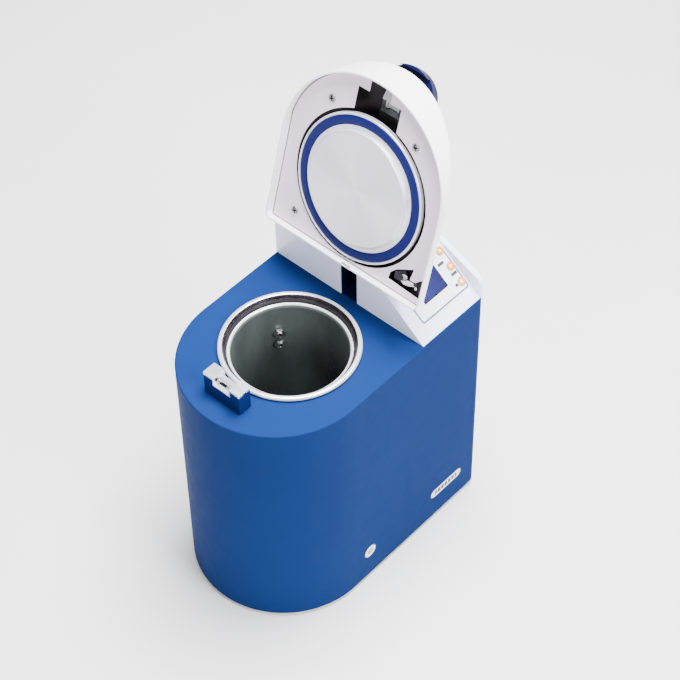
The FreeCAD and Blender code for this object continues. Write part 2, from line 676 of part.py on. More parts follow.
def drain_valve():
    """Brass ball valve: its hose tail leaves through the back panel."""
    body = rod(6.8, (DRAIN_X, BACK_Y - 40, DRAIN_Z), (DRAIN_X, PANEL_OUT_Y + 7, DRAIN_Z))
    tail = rod(4.5, (DRAIN_X, PANEL_OUT_Y + 6, DRAIN_Z), (DRAIN_X, REAR_LIMIT_Y, DRAIN_Z))
    bore = rod(2.6, (DRAIN_X, BACK_Y - 41, DRAIN_Z), (DRAIN_X, REAR_LIMIT_Y + 1, DRAIN_Z))
    return union([body, tail]).cut(bore)


def drain_lock_nut():
    nut = hexagon(Vector(DRAIN_X, PANEL_OUT_Y, DRAIN_Z), Y_AXIS, 21, 4)
    return nut.cut(rod(6.9, (DRAIN_X, BACK_Y, DRAIN_Z), (DRAIN_X, BACK_Y + 9, DRAIN_Z)))


def drain_knob():
    """Fluted knob on the valve spindle, above the hose tail."""
    knob = rod(KNOB_R, (DRAIN_X, PANEL_OUT_Y + 3, KNOB_Z), (DRAIN_X, PANEL_OUT_Y + 15, KNOB_Z))
    flutes = []
    for i in range(8):
        a = math.radians(45 * i)
        x = DRAIN_X + (KNOB_R + 2) * math.cos(a)
        z = KNOB_Z + (KNOB_R + 2) * math.sin(a)
        flutes.append(rod(4.0, (x, PANEL_OUT_Y, z), (x, PANEL_OUT_Y + 20, z)))
    bore = rod(3.0 + RUNNING_FIT, (DRAIN_X, PANEL_OUT_Y + 2, KNOB_Z), (DRAIN_X, PANEL_OUT_Y + 11, KNOB_Z))
    return knob.cut(flutes + [bore])


def drain_spindle():
    stem = rod(3.0, (DRAIN_X, PANEL_OUT_Y, KNOB_Z), (DRAIN_X, PANEL_OUT_Y + 10.5, KNOB_Z))
    gland = rod(6.0, (DRAIN_X, PANEL_OUT_Y, KNOB_Z), (DRAIN_X, PANEL_OUT_Y + 2.4, KNOB_Z))
    return union([stem, gland])


def exhaust_port():
    stub = tube(5.3, 3.5, (EXHAUST_X, BACK_Y - 18, EXHAUST_Z), (EXHAUST_X, PANEL_OUT_Y + 9, EXHAUST_Z))
    collar = tube(8.0, 5.2, (EXHAUST_X, PANEL_OUT_Y, EXHAUST_Z), (EXHAUST_X, PANEL_OUT_Y + 3, EXHAUST_Z))
    return union([stub, collar])


def pipe(points, r_out, r_in):
    """A bent pipe: straight runs with ball joints at the bends."""
    solid = None
    hollow = None
    for a, b in zip(points, points[1:]):
        run = rod(r_out, a, b)
        core = rod(r_in, a, b)
        solid = run if solid is None else solid.fuse(run)
        hollow = core if hollow is None else hollow.fuse(core)
    for p in points[1:-1]:
        solid = solid.fuse(Part.makeSphere(r_out, Vector(p)))
        hollow = hollow.fuse(Part.makeSphere(r_in, Vector(p)))
    return solid.cut(hollow)


def drain_pipe():
    """From the chamber floor to the drain valve."""
    z = CHAMBER_FLOOR_Z - CHAMBER_WALL
    low = 62.0
    valve_y = BACK_Y - 40.0
    points = [(0, CHAMBER_Y, z - 2), (0, CHAMBER_Y, low), (DRAIN_X, CHAMBER_Y, low),
              (DRAIN_X, valve_y - 16, low), (DRAIN_X, valve_y - 16, DRAIN_Z), (DRAIN_X, valve_y, DRAIN_Z)]
    return pipe([Vector(p) for p in points], 4.0, 2.8)


def chamber_drain():
    """Threaded outlet in the chamber floor with a strainer disc inside."""
    z = CHAMBER_FLOOR_Z
    stem = rod(6.0, (0, CHAMBER_Y, z - 2 - CHAMBER_WALL), (0, CHAMBER_Y, z + 1))
    disc = rod(14.0, (0, CHAMBER_Y, z + 1.0), (0, CHAMBER_Y, z + 3.0))
    holes = []
    for i in range(6):
        a = math.radians(60 * i)
        x = 8.5 * math.cos(a)
        y = CHAMBER_Y + 8.5 * math.sin(a)
        holes.append(rod(1.6, (x, y, z), (x, y, z + 4)))
    bore = rod(2.8, (0, CHAMBER_Y, z - 9), (0, CHAMBER_Y, z + 9))
    return union([stem, disc]).cut(holes + [bore])


def solenoid_valve():
    body = box(-104, -76, BACK_Y - 58, BACK_Y - 30, 336, 360)
    coil = rounded_box(-106, -74, BACK_Y - 60, BACK_Y - 28, 360, 396, 4, Z_AXIS)
    return union([body, coil])


def safety_valve():
    """Spring-loaded relief valve beside the solenoid."""
    x = -54.0
    y = BACK_Y - 44.0
    profile = [(0, 336), (9, 336), (9, 352), (6.5, 354), (6.5, 378), (4, 381), (4, 388), (0, 388)]
    return revolve(profile, x, y)


def steam_manifold():
    """Pipe from the chamber's steam outlet past both valves."""
    start = wall_point(NUT_ANGLE_DEG, CHAMBER_R + CHAMBER_WALL + 12, NUT_Z[1])
    p1 = wall_point(NUT_ANGLE_DEG, CHAMBER_R + CHAMBER_WALL + 22, NUT_Z[1])
    p2 = Vector(-90, BACK_Y - 44, NUT_Z[1] - 24)
    p3 = Vector(-54, BACK_Y - 44, NUT_Z[1] - 24)
    riser = [rod(4.0, (x, BACK_Y - 44, NUT_Z[1] - 24), (x, BACK_Y - 44, 336)) for x in (-90, -54)]
    return union([pipe([start, p1, p2, p3], 4.0, 2.6)] + riser)


def transformer():
    core = box(-30, 30, BACK_Y - 88, BACK_Y - 50, 11.5, 61.5)
    coil = rounded_box(-20, 20, BACK_Y - 96, BACK_Y - 42, 19, 54, 6, Y_AXIS)
    feet_plate = box(-38, 38, BACK_Y - 84, BACK_Y - 54, SHELL_BOTTOM_Z + BASE_T, 11.5)
    return union([core, coil, feet_plate])


def power_board():
    """Upright relay board on the left."""
    board = box(-128, -126.4, ARC_Y + 150, ARC_Y + 270, 120, 260)
    relays = [box(-126.5, -110, ARC_Y + 158 + 26 * i, ARC_Y + 178 + 26 * i, 140, 170) for i in range(3)]
    sink = box(-126.5, -104, ARC_Y + 160, ARC_Y + 235, 195, 240)
    feet_posts = [box(-143, -127.9, ARC_Y + y, ARC_Y + y + 8, z, z + 8) for y in (155, 257) for z in (125, 247)]
    return union([board, sink] + relays + feet_posts)


# ---------------------------------------------------------------- lid, drawn closed
BAR_BOTTOM_Z = 474.0
BAR_TOP_Z = 487.0
BAR_FRONT_Y = LATCH_Y + 10.0
EYE_R = 10.5
BUSH_R = 7.0
LID_SCREWS = [(-76.6, CHAMBER_Y - 105.6), (74.8, CHAMBER_Y - 105.6), (-101.2, CHAMBER_Y + 92.4)]


def lid_block(inset, z0):
    block = d_prism(inset, LID_REAR_Y, LID_CORNER_R, z0, 520)
    return block.common(crown_prism(inset, ARC_Y - 2 * BODY_R, BACK_Y, z0 - 1))


def lid_cover():
    """White crowned lid shell with slots for the hinge arm and the latch handle."""
    shell = lid_block(0, LID_LIP_Z).cut(lid_block(LID_WALL, LID_LIP_Z - 1))
    rear_slot = box(-14, 14, LID_REAR_Y - 8, LID_REAR_Y + 1, 468, 489.5)
    handle_slot = box(-20, 20, LATCH_Y - 26, LATCH_Y + 9, 484, 520)
    return shell.cut([rear_slot, handle_slot])


def lid_lining():
    """Black heat-resistant lining under the shell."""
    lining = lid_block(LID_WALL + 0.1, PLATE_Z + 6).cut(lid_block(LID_WALL + 2.1, PLATE_Z + 5))
    rear_slot = box(-15, 15, LID_REAR_Y - 12, LID_REAR_Y + 1, 440, 499)
    handle_slot = box(-21, 21, LATCH_Y - 27, LATCH_Y + 10, 484, 520)
    return lining.cut([rear_slot, handle_slot])


def front_cutout():
    """Stepped opening over the keeper, joined to the disc opening."""
    wide = box(-38.5, 38.5, CHAMBER_Y - 146, CHAMBER_Y - 100, PLATE_Z - 5, PLATE_Z + 5)
    narrow = box(-19, 19, CHAMBER_Y - 165, CHAMBER_Y - 140, PLATE_Z - 5, PLATE_Z + 5)
    return wide.fuse(narrow)


def corner_cutout():
    """Irregular pocket at the rear right corner for the interlock bolt."""
    outline = [(79, 106), (80, 95), (90, 84), (101.5, 78), (118, 69), (115, 88), (124, 88), (136, 77), (136.5, 109)]
    return plate_xy([(x, CHAMBER_Y + y) for x, y in outline], PLATE_Z - 5, PLATE_Z + 5)


def plate_half_width():
    """Sideways reach of the plate before it meets the inside of the crown."""
    x = BODY_R - LID_WALL
    while crown_height(x, LID_WALL) < PLATE_Z + PLATE_T + 0.1:
        x -= 0.05
    return x


def lid_plate():
    """Flat inner plate with the disc opening, the keeper opening and a corner pocket."""
    plate = d_prism(LID_WALL + 0.1, LID_REAR_Y, LID_CORNER_R, PLATE_Z, PLATE_Z + PLATE_T)
    half = plate_half_width()
    plate = plate.common(box(-half, half, ARC_Y - BODY_R, LID_REAR_Y, PLATE_Z, PLATE_Z + PLATE_T))
    hole = rod(DISC_HOLE_R, (0, CHAMBER_Y, PLATE_Z - 5), (0, CHAMBER_Y, PLATE_Z + 5))
    plate = plate.cut([hole, front_cutout(), corner_cutout()])
    holes = [rod(2.0, (x, y, PLATE_Z - 5), (x, y, PLATE_Z + 5)) for x, y in LID_SCREWS]
    return plate.cut(holes)


def lid_screws():
    return group([pan_head_screw(Vector(x, y, PLATE_Z), Z_AXIS, 4.2, 2.2, 1.9, 10) for x, y in LID_SCREWS])


def screw_bosses():
    """Plastic posts under the crown that take the plate screws."""
    bosses = []
    for x, y in LID_SCREWS:
        z0 = PLATE_Z + PLATE_T
        bosses.append(tube(6, 2.0, (x, y, z0), (x, y, crown_height(abs(x) + 6, 6))))
    return group(bosses)


def pressure_disc():
    """Pressed stainless disc with a raised centre and a groove for the gasket."""
    z = LID_SEAL_Z
    profile = [
        (0, z - 5), (83.5, z - 5), (85.6, z - 4), (86.4, z - 2), (86.6, z + 0.2), (87.6, z + 1), (93.4, z + 1),
        (93.4, z + 5), (107.3, z + 5), (107.3, z + 1.6), (108.2, z + 0.8), (110.2, z + 0.8), (DISC_R, z + 1.8),
        (DISC_R, z + 8), (89, z + 8), (84, z + 0.6), (80, z - 1), (0, z - 1),
    ]
    return revolve(profile, 0, CHAMBER_Y)


def disc_gasket():
    """Silicone ring with a crowned sealing face."""
    z = LID_SEAL_Z
    profile = [
        (93.6, z + 4.9), (93.6, z + 1.4), (94.4, z + 0.6), (97.0, z + 0.1), (100.3, z), (103.6, z + 0.1),
        (106.2, z + 0.6), (107.1, z + 1.4), (107.1, z + 4.9),
    ]
    return revolve(profile, 0, CHAMBER_Y)


def lid_crossbar():
    """Steel bar along the lid: hinge eye behind, latch ears in front."""
    bar = box(-17, 17, BAR_FRONT_Y, LID_REAR_Y - 8, BAR_BOTTOM_Z, BAR_TOP_Z)
    neck = box(-11.5, 11.5, LID_REAR_Y - 9, HINGE_Y, BAR_BOTTOM_Z + 0.5, BAR_TOP_Z + 1)
    eye = rod(EYE_R, (-11.5, HINGE_Y, HINGE_Z), (11.5, HINGE_Y, HINGE_Z))
    parts = [bar, neck, eye]
    ear = [
        (LATCH_Y - 7, BAR_BOTTOM_Z + 3), (BAR_FRONT_Y + 1, BAR_BOTTOM_Z + 3), (BAR_FRONT_Y + 1, BAR_TOP_Z - 0.5),
        (LATCH_Y + 5, LATCH_Z + 6), (LATCH_Y - 4, LATCH_Z + 6), (LATCH_Y - 7, LATCH_Z + 3),
    ]
    for s in (-1, 1):
        lo, hi = sorted((s * 12.5, s * 17.0))
        parts.append(plate_yz(ear, lo, hi))
    bar = union(parts)
    cuts = [
        rod(BUSH_R, (-20, HINGE_Y, HINGE_Z), (20, HINGE_Y, HINGE_Z)),
        rod(LATCH_SHAFT_R, (-30, LATCH_Y, LATCH_Z), (30, LATCH_Y, LATCH_Z)),
        rod(5.0, (0, CHAMBER_Y, BAR_BOTTOM_Z - 1), (0, CHAMBER_Y, BAR_TOP_Z + 1)),
        box(-14, 14, CHAMBER_Y + 30, CHAMBER_Y + 80, BAR_BOTTOM_Z - 1, BAR_BOTTOM_Z + 9),
        box(-14, 14, CHAMBER_Y - 80, CHAMBER_Y - 30, BAR_BOTTOM_Z - 1, BAR_BOTTOM_Z + 9),
    ]
    return bar.cut(cuts)


def hinge_bushes():
    """Two plain bronze bushes pressed into the hinge eye."""
    bushes = []
    for s in (-1, 1):
        bushes.append(tube(BUSH_R, HINGE_PIN_R + RUNNING_FIT, (s * 1.0, HINGE_Y, HINGE_Z), (s * 12.5, HINGE_Y, HINGE_Z)))
    return group(bushes)


def disc_stud():
    """Stud on the back of the disc, through the crossbar, with its collar."""
    z = LID_SEAL_Z
    stud = rod(5.0, (0, CHAMBER_Y, z - 1), (0, CHAMBER_Y, BAR_TOP_Z + 0.4))
    foot = rod(22.0, (0, CHAMBER_Y, z - 1), (0, CHAMBER_Y, z + 3))
    collar = rod(10.0, (0, CHAMBER_Y, z + 2), (0, CHAMBER_Y, BAR_BOTTOM_Z))
    return union([stud, foot, collar])


def latch_shaft():
    """Pin through both latch ears, headed at each end."""
    shaft = rod(LATCH_SHAFT_R, (-19, LATCH_Y, LATCH_Z), (19, LATCH_Y, LATCH_Z))
    heads = [rod(6.0, (s * 17.1, LATCH_Y, LATCH_Z), (s * 19.0, LATCH_Y, LATCH_Z)) for s in (-1, 1)]
    return union([shaft] + heads)


def tang_outline(fit):
    """The hook's tang in side view, from its rear foot over the top to its front foot."""
    foot = LATCH_Z + 8.5
    tip = LATCH_Z + 18.5 + fit
    return [(LATCH_Y - 9, foot), (LATCH_Y - 9, tip), (LATCH_Y - 20, tip), (LATCH_Y - 20, foot)]


def latch_hook():
    """Forged C-shaped hook, drawn engaged under the keeper pin, with the handle tang."""
    top = LATCH_Z + 6.5
    nose_top = KEEPER_PIN_Z - KEEPER_PIN_R - 0.4
    nose_low = KEEPER_FLOOR_Z + 0.6
    tip = KEEPER_PIN_Y + 4.5
    inner = KEEPER_PIN_Y - 5.0
    front = KEEPER_PIN_Y - 12.5
    outline = [
        (LATCH_Y + 5, LATCH_Z - 4.5), (LATCH_Y + 6.5, LATCH_Z), (LATCH_Y + 4.5, top - 1.5), (LATCH_Y, top),
        (LATCH_Y - 9, top), *tang_outline(0.0), (LATCH_Y - 20, top - 2), (front, LATCH_Z - 4), (front, nose_low + 3), (front + 3, nose_low), (tip, nose_low),
        (tip, nose_top), (inner, nose_top), (inner, LATCH_Z - 8), (inner + 3, LATCH_Z - 5),
    ]
    hook = plate_yz(outline, -9, 9)
    waist = [box(lo, hi, LATCH_Y - 30, LATCH_Y + 20, top + 2.5, top + 30) for lo, hi in ((-20, -7), (7, 20))]
    bore = rod(LATCH_SHAFT_R + RUNNING_FIT, (-20, LATCH_Y, LATCH_Z), (20, LATCH_Y, LATCH_Z))
    return hook.cut(waist + [bore])


HANDLE_TIP_Y = ARC_Y - BODY_R - 6.5
HANDLE_HALF = 45.0


def latch_handle():
    """Crescent paddle over the lid's front edge, with a lip that follows the lid."""
    crown_top = CROWN_BASE_Z + CROWN_H
    low = crown_top + 2.0
    high = crown_top + 14.0
    side_y = HANDLE_TIP_Y + 32.0
    rear_y = LATCH_Y - 6.0
    points = [Vector(HANDLE_HALF, side_y, low - 10), Vector(0, HANDLE_TIP_Y, low - 10), Vector(-HANDLE_HALF, side_y, low - 10)]
    front = Part.Arc(*points).toShape()
    left = Vector(-HANDLE_HALF, side_y, low - 10)
    right = Vector(HANDLE_HALF, side_y, low - 10)
    rear_left = Vector(-24, rear_y, low - 10)
    rear_right = Vector(24, rear_y, low - 10)
    edges = [front, Part.makeLine(left, rear_left), Part.makeLine(rear_left, rear_right), Part.makeLine(rear_right, right)]
    paddle = Part.Face(Part.Wire(edges)).extrude(Vector(0, 0, high - low + 10))
    dome = [
        (HANDLE_TIP_Y - 1, low - 12), (HANDLE_TIP_Y - 1, low + 1), (HANDLE_TIP_Y + 3, low + 7),
        (HANDLE_TIP_Y + 12, high - 2), (HANDLE_TIP_Y + 24, high), (rear_y - 8, high - 1), (rear_y + 1, high - 6),
        (rear_y + 1, low - 12),
    ]
    paddle = paddle.common(plate_yz(dome, -60, 60))
    keep_clear = crown_prism(-2.0, ARC_Y - 200, ARC_Y + 100, 430)
    keep_clear = keep_clear.common(rod(BODY_R + 1.8, (0, ARC_Y, 430), (0, ARC_Y, 530)))
    paddle = paddle.cut(keep_clear)
    return paddle.cut(plate_yz(tang_outline(0.05), -7.0, 7.0))


def lid_stop():
    """Rubber stop for the crossbar, in the slot behind the open lid."""
    gap = 0.35
    block = box(-9, 9, HINGE_Y - 17, HINGE_Y - 11.6, BAR_TOP_Z + 1 + gap, BAR_TOP_Z + 8)
    block.rotate(Vector(0, HINGE_Y, HINGE_Z), X_AXIS, -LID_OPEN_DEG)
    return block.common(box(-10, 10, HINGE_Y, SLOT_END_Y - 2, HINGE_Z, HOUSING_TOP_Z))


def interlock_striker():
    """Steel striker in the corner pocket that meets the interlock switch."""
    bracket = plate_xy([(88, CHAMBER_Y + 100), (88, CHAMBER_Y + 88), (104, CHAMBER_Y + 80), (112, CHAMBER_Y + 92),
                        (112, CHAMBER_Y + 100)], PLATE_Z + PLATE_T, PLATE_Z + PLATE_T + 3)
    pin = rod(4.0, (101, CHAMBER_Y + 90, PLATE_Z - 2), (101, CHAMBER_Y + 90, PLATE_Z + PLATE_T + 12))
    tab = box(90, 110, CHAMBER_Y + 96, CHAMBER_Y + 99, PLATE_Z + PLATE_T, PLATE_Z + 14)
    return union([bracket, pin, tab])


# ---------------------------------------------------------------- assembly
FIXED = {
    "body_shell": body_shell,
    "base_plate": base_plate,
    "feet": feet,
    "rear_panel": rear_panel,
    "rear_screws": rear_screws,
    "oval_badge": oval_badge,
    "round_badge": round_badge,
    "chamber_vessel": chamber_vessel,
    "chamber_rim": chamber_rim,
    "mouth_ring": mouth_ring,
    "chamber_fittings": chamber_fittings,
    "chamber_drain": chamber_drain,
    "flange_bolts": flange_bolts,
    "chassis_plate": chassis_plate,
    "chassis_posts": chassis_posts,
    "band_heater": band_heater,
    "insulation_jacket": insulation_jacket,
    "keeper_pedestal": keeper_pedestal,
    "keeper_cap": keeper_cap,
    "keeper_pin": keeper_pin,
    "rear_housing": rear_housing,
    "slot_liner": slot_liner,
    "hinge_bracket": hinge_bracket,
    "hinge_pin": hinge_pin,
    "lid_stop": lid_stop,
    "panel_overlay": panel_overlay,
    "display_window": display_window,
    "control_board": control_board,
    "power_inlet": power_inlet,
    "power_switch_frame": power_switch_frame,
    "power_rocker": power_rocker,
    "fuse_holders": fuse_holders,
    "drain_valve": drain_valve,
    "drain_lock_nut": drain_lock_nut,
    "drain_spindle": drain_spindle,
    "drain_knob": drain_knob,
    "drain_pipe": drain_pipe,
    "exhaust_port": exhaust_port,
    "solenoid_valve": solenoid_valve,
    "safety_valve": safety_valve,
    "steam_manifold": steam_manifold,
    "transformer": transformer,
    "power_board": power_board,
}

LID = {
    "lid_cover": lid_cover,
    "lid_lining": lid_lining,
    "lid_plate": lid_plate,
    "lid_screws": lid_screws,
    "screw_bosses": screw_bosses,
    "pressure_disc": pressure_disc,
    "disc_gasket": disc_gasket,
    "disc_stud": disc_stud,
    "lid_crossbar": lid_crossbar,
    "hinge_bushes": hinge_bushes,
    "interlock_striker": interlock_striker,
    "latch_shaft": latch_shaft,
}

LATCH = {
    "latch_hook": latch_hook,
    "latch_handle": latch_handle,
}

BUTTON_NAMES = ["start_button", "program_button", "stop_button"]


def open_lid(shape):
    return shape.rotated(Vector(0, HINGE_Y, HINGE_Z), X_AXIS, -LID_OPEN_DEG)


def lift_latch(shape):
    return shape.rotated(Vector(0, LATCH_Y, LATCH_Z), X_AXIS, -LATCH_SWING_DEG)


def assemble():
    shapes = {name: make() for name, make in FIXED.items()}
    for name, t in zip(BUTTON_NAMES, BUTTONS):
        shapes[name] = button(t)
    for name, make in LID.items():
        shapes[name] = open_lid(make())
    for name, make in LATCH.items():
        shapes[name] = open_lid(lift_latch(make()))
    return shapes


def write_parts():
    os.makedirs("parts", exist_ok=True)
    for name, shape in assemble().items():
        shape.exportStep(f"parts/{name}.step")


write_parts()
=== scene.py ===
import json
import math

import bmesh
import bpy
from mathutils import Matrix, Vector
from mathutils.geometry import convex_hull_2d

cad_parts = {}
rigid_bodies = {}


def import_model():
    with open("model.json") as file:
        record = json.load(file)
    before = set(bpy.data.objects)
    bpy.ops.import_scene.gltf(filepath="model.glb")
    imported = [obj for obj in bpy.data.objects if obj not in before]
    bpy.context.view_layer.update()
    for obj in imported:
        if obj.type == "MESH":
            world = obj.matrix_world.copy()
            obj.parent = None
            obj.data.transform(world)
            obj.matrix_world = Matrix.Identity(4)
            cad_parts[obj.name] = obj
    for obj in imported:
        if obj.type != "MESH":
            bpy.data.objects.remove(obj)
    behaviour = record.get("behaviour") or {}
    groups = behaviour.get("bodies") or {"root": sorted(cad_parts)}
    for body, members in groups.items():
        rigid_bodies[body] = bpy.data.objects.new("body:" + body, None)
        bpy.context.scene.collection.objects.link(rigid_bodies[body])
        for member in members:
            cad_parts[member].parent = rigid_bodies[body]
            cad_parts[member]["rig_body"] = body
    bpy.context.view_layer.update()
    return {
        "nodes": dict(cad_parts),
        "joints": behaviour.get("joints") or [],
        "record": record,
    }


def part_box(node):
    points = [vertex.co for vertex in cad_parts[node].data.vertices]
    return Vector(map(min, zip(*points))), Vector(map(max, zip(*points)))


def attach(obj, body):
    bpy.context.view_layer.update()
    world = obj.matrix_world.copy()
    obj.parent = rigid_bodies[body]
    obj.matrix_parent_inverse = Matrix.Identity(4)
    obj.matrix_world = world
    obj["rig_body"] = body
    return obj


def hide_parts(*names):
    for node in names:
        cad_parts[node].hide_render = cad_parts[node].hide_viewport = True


# A top-loading benchtop steam steriliser with its lid open.
# Everything is in metres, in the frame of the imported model: +Z up, front towards -Y.

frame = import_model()
NODES = frame["nodes"]
JOINTS = {joint["name"]: joint for joint in frame["joints"]}
MM = 0.001


# ------------------------------------------------------------------ frames and places
def centre(node):
    low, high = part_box(node)
    return (low + high) / 2


HINGE = Vector(JOINTS["lid_hinge"]["pos_m"])
LID_OPEN = math.radians(JOINTS["lid_hinge"]["range_deg"][1])
# Takes a point of the closed lid to where it is with the lid open.
LID = Matrix.Translation(HINGE) @ Matrix.Rotation(-LID_OPEN, 4, "X") @ Matrix.Translation(-HINGE)

CHAMBER = centre("chamber_vessel")
RIM_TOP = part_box("chamber_rim")[1].z
MOUTH_R = 86.4 * MM          # where the chamber wall rolls outwards
BEAD_R = 97.4 * MM           # inside of the bright bead of the rim
DISC_CENTRE = LID @ Vector((0, CHAMBER.y, RIM_TOP))

PANEL_OUT = -Vector(JOINTS["start_press"]["axis"])
PANEL_DOWN = Vector((PANEL_OUT.z, 0, -PANEL_OUT.x))


def axes_matrix(origin, x, y, z):
    """A local frame with the given origin and axes."""
    m = Matrix((x, y, z)).transposed().to_4x4()
    m.translation = origin
    return m


def key_frame(node):
    """Origin in the middle of a key's face, x down the panel, y to the back, z outwards."""
    low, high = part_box(node)
    middle = (low + high) / 2
    half = max((v.co - middle).dot(PANEL_OUT) for v in NODES[node].data.vertices)
    return axes_matrix(middle + PANEL_OUT * half, PANEL_DOWN, Vector((0, 1, 0)), PANEL_OUT)


# Which body each key rides on.
KEYS = {"start_button": "start_key", "program_button": "program_key", "stop_button": "stop_key"}


# ------------------------------------------------------------------ materials
NOISE_ROUGHNESS = 0.55
# How far the shading of a sharp edge is rounded, in metres.
PLASTIC_EDGE = 0.0006        # also for turned steel
METAL_EDGE = 0.0005          # also for rubber
ENAMEL_EDGE = 0.0008


class Graph:
    """A thin wrapper that keeps node graphs short."""

    def __init__(self, name):
        self.material = bpy.data.materials.new(name)
        self.material.use_nodes = True
        self.tree = self.material.node_tree
        self.tree.nodes.clear()
        self.shader = self.add("ShaderNodeBsdfPrincipled")
        output = self.add("ShaderNodeOutputMaterial")
        self.join(self.shader.outputs["BSDF"], output.inputs["Surface"])
        self.place = self.add("ShaderNodeTexCoord").outputs["Object"]

    def add(self, kind, **values):
        node = self.tree.nodes.new(kind)
        for key, value in values.items():
            setattr(node, key, value)
        return node

    def join(self, source, target):
        self.tree.links.new(source, target)

    def fill(self, target, value):
        """Sets an input to a number, colour or vector, or links it to a socket."""
        if isinstance(value, bpy.types.NodeSocket):
            self.join(value, target)
        else:
            target.default_value = value

    def maths(self, operation, a, b=0.0, c=0.0):
        node = self.add("ShaderNodeMath", operation=operation)
        for target, value in zip(node.inputs, (a, b, c)):
            self.fill(target, value)
        return node.outputs[0]

    def vector(self, operation, a, b=(0, 0, 0)):
        node = self.add("ShaderNodeVectorMath", operation=operation)
        self.fill(node.inputs[0], a)
        self.fill(node.inputs[1], b)
        return node.outputs["Value" if operation in ("LENGTH", "DOT_PRODUCT") else "Vector"]

    def noise(self, scale, detail=3.0, stretch=(1, 1, 1), place=None):
        node = self.add("ShaderNodeTexNoise")
        node.inputs["Scale"].default_value = scale
        node.inputs["Detail"].default_value = detail
        node.inputs["Roughness"].default_value = NOISE_ROUGHNESS
        self.join(self.vector("MULTIPLY", place or self.place, stretch), node.inputs["Vector"])
        return node.outputs["Fac"]

    def span(self, value, low, high, start=0.3, end=0.7):
        """Maps a value between start and end to the range low to high."""
        node = self.add("ShaderNodeMapRange")
        sockets = ("Value", "From Min", "From Max", "To Min", "To Max")
        for key, number in zip(sockets, (value, start, end, low, high)):
            self.fill(node.inputs[key], number)
        return node.outputs["Result"]

    def mix(self, factor, a, b):
        node = self.add("ShaderNodeMix", data_type="RGBA")
        self.fill(node.inputs["Factor"], factor)
        self.fill(node.inputs["A"], a)
        self.fill(node.inputs["B"], b)
        return node.outputs["Result"]

    def radius(self):
        """Distance from the chamber's upright axis."""
        flat = self.vector("MULTIPLY", self.vector("SUBTRACT", self.place, tuple(CHAMBER)), (1, 1, 0))
        return self.vector("LENGTH", flat)

    def set(self, **values):
        for key, value in values.items():
            self.fill(self.shader.inputs[key.replace("_", " ")], value)

    def bump(self, height, depth, strength=1.0, edge=0.0):
        """Bump of the given depth in metres, over edges softened by a small radius."""
        node = self.add("ShaderNodeBump")
        node.inputs["Strength"].default_value = strength
        node.inputs["Distance"].default_value = depth
        self.join(height, node.inputs["Height"])
        if edge:
            soft = self.add("ShaderNodeBevel", samples=4)
            soft.inputs["Radius"].default_value = edge
            self.join(soft.outputs["Normal"], node.inputs["Normal"])
        self.join(node.outputs["Normal"], self.shader.inputs["Normal"])


def rgb(r, g, b):
    """Linear colour from 0-255 display values."""
    parts = []
    for v in (r, g, b):
        v /= 255
        parts.append(v / 12.92 if v <= 0.04045 else ((v + 0.055) / 1.055) ** 2.4)
    return (*parts, 1.0)


def shade(colour, factor):
    return tuple(min(1.0, c * factor) for c in colour[:3]) + (1.0,)


def plastic(name, colour, rough, grain=900.0, depth=0.00002, spread=0.06, coat=0.0, gloss=0.5):
    """Moulded plastic: a fine spark-eroded grain, slight colour drift, handling wear in the gloss."""
    g = Graph(name)
    drift = g.noise(14.0, 4.0)
    g.set(Base_Color=g.mix(g.span(drift, 0, 1), shade(colour, 1 - spread), shade(colour, 1 + spread)))
    g.set(Roughness=g.span(g.noise(45.0, 5.0), rough - 0.05, rough + 0.07))
    g.set(Coat_Weight=coat, Coat_Roughness=0.12, Specular_IOR_Level=gloss)
    g.bump(g.noise(grain, 4.0), depth, edge=PLASTIC_EDGE)
    return g.material


def enamel(name, colour, rough):
    """Matt baked enamel on sheet steel: faint orange peel and a few dust specks."""
    g = Graph(name)
    drift = g.span(g.noise(5.0, 3.0), 0, 1)
    base = g.mix(drift, shade(colour, 0.94), shade(colour, 1.05))
    speck = g.span(g.noise(1900.0, 1.0), 0, 0.3, 0.78, 0.84)
    g.set(Base_Color=g.mix(speck, base, shade(colour, 1.6)))
    g.set(Roughness=g.span(g.noise(60.0, 6.0), rough - 0.04, rough + 0.06), Specular_IOR_Level=0.01)
    g.bump(g.noise(240.0, 2.0), 0.00006, 0.6, edge=ENAMEL_EDGE)
    return g.material


def metal(name, colour, rough, stretch=(1, 1, 1), scale=400.0, depth=0.00001, stain=0.08, metallic=1.0):
    """Bare metal with directional brushing and faint stains."""
    g = Graph(name)
    brush = g.noise(scale, 4.0, stretch)
    cloud = g.noise(22.0, 5.0)
    g.set(Base_Color=g.mix(g.span(cloud, 0, 1), shade(colour, 1 - stain), shade(colour, 1 + stain)))
    g.set(Metallic=metallic)
    uneven = g.maths("MULTIPLY", g.span(brush, 0.8, 1.25), g.span(cloud, 0.9, 1.15))
    g.set(Roughness=g.maths("MULTIPLY", uneven, rough))
    g.bump(brush, depth, edge=METAL_EDGE)
    return g.material


def rubber(name, colour, rough):
    """Soft rubber with a little dust on it."""
    g = Graph(name)
    dust = g.span(g.noise(130.0, 6.0), 0, 0.5, 0.5, 0.85)
    g.set(Base_Color=g.mix(dust, colour, shade(colour, 1.5)))
    g.set(Roughness=g.span(g.noise(70.0, 4.0), rough - 0.08, rough + 0.08))
    g.set(Specular_IOR_Level=0.15)
    g.bump(g.noise(700.0, 3.0), 0.00003, edge=METAL_EDGE)
    return g.material


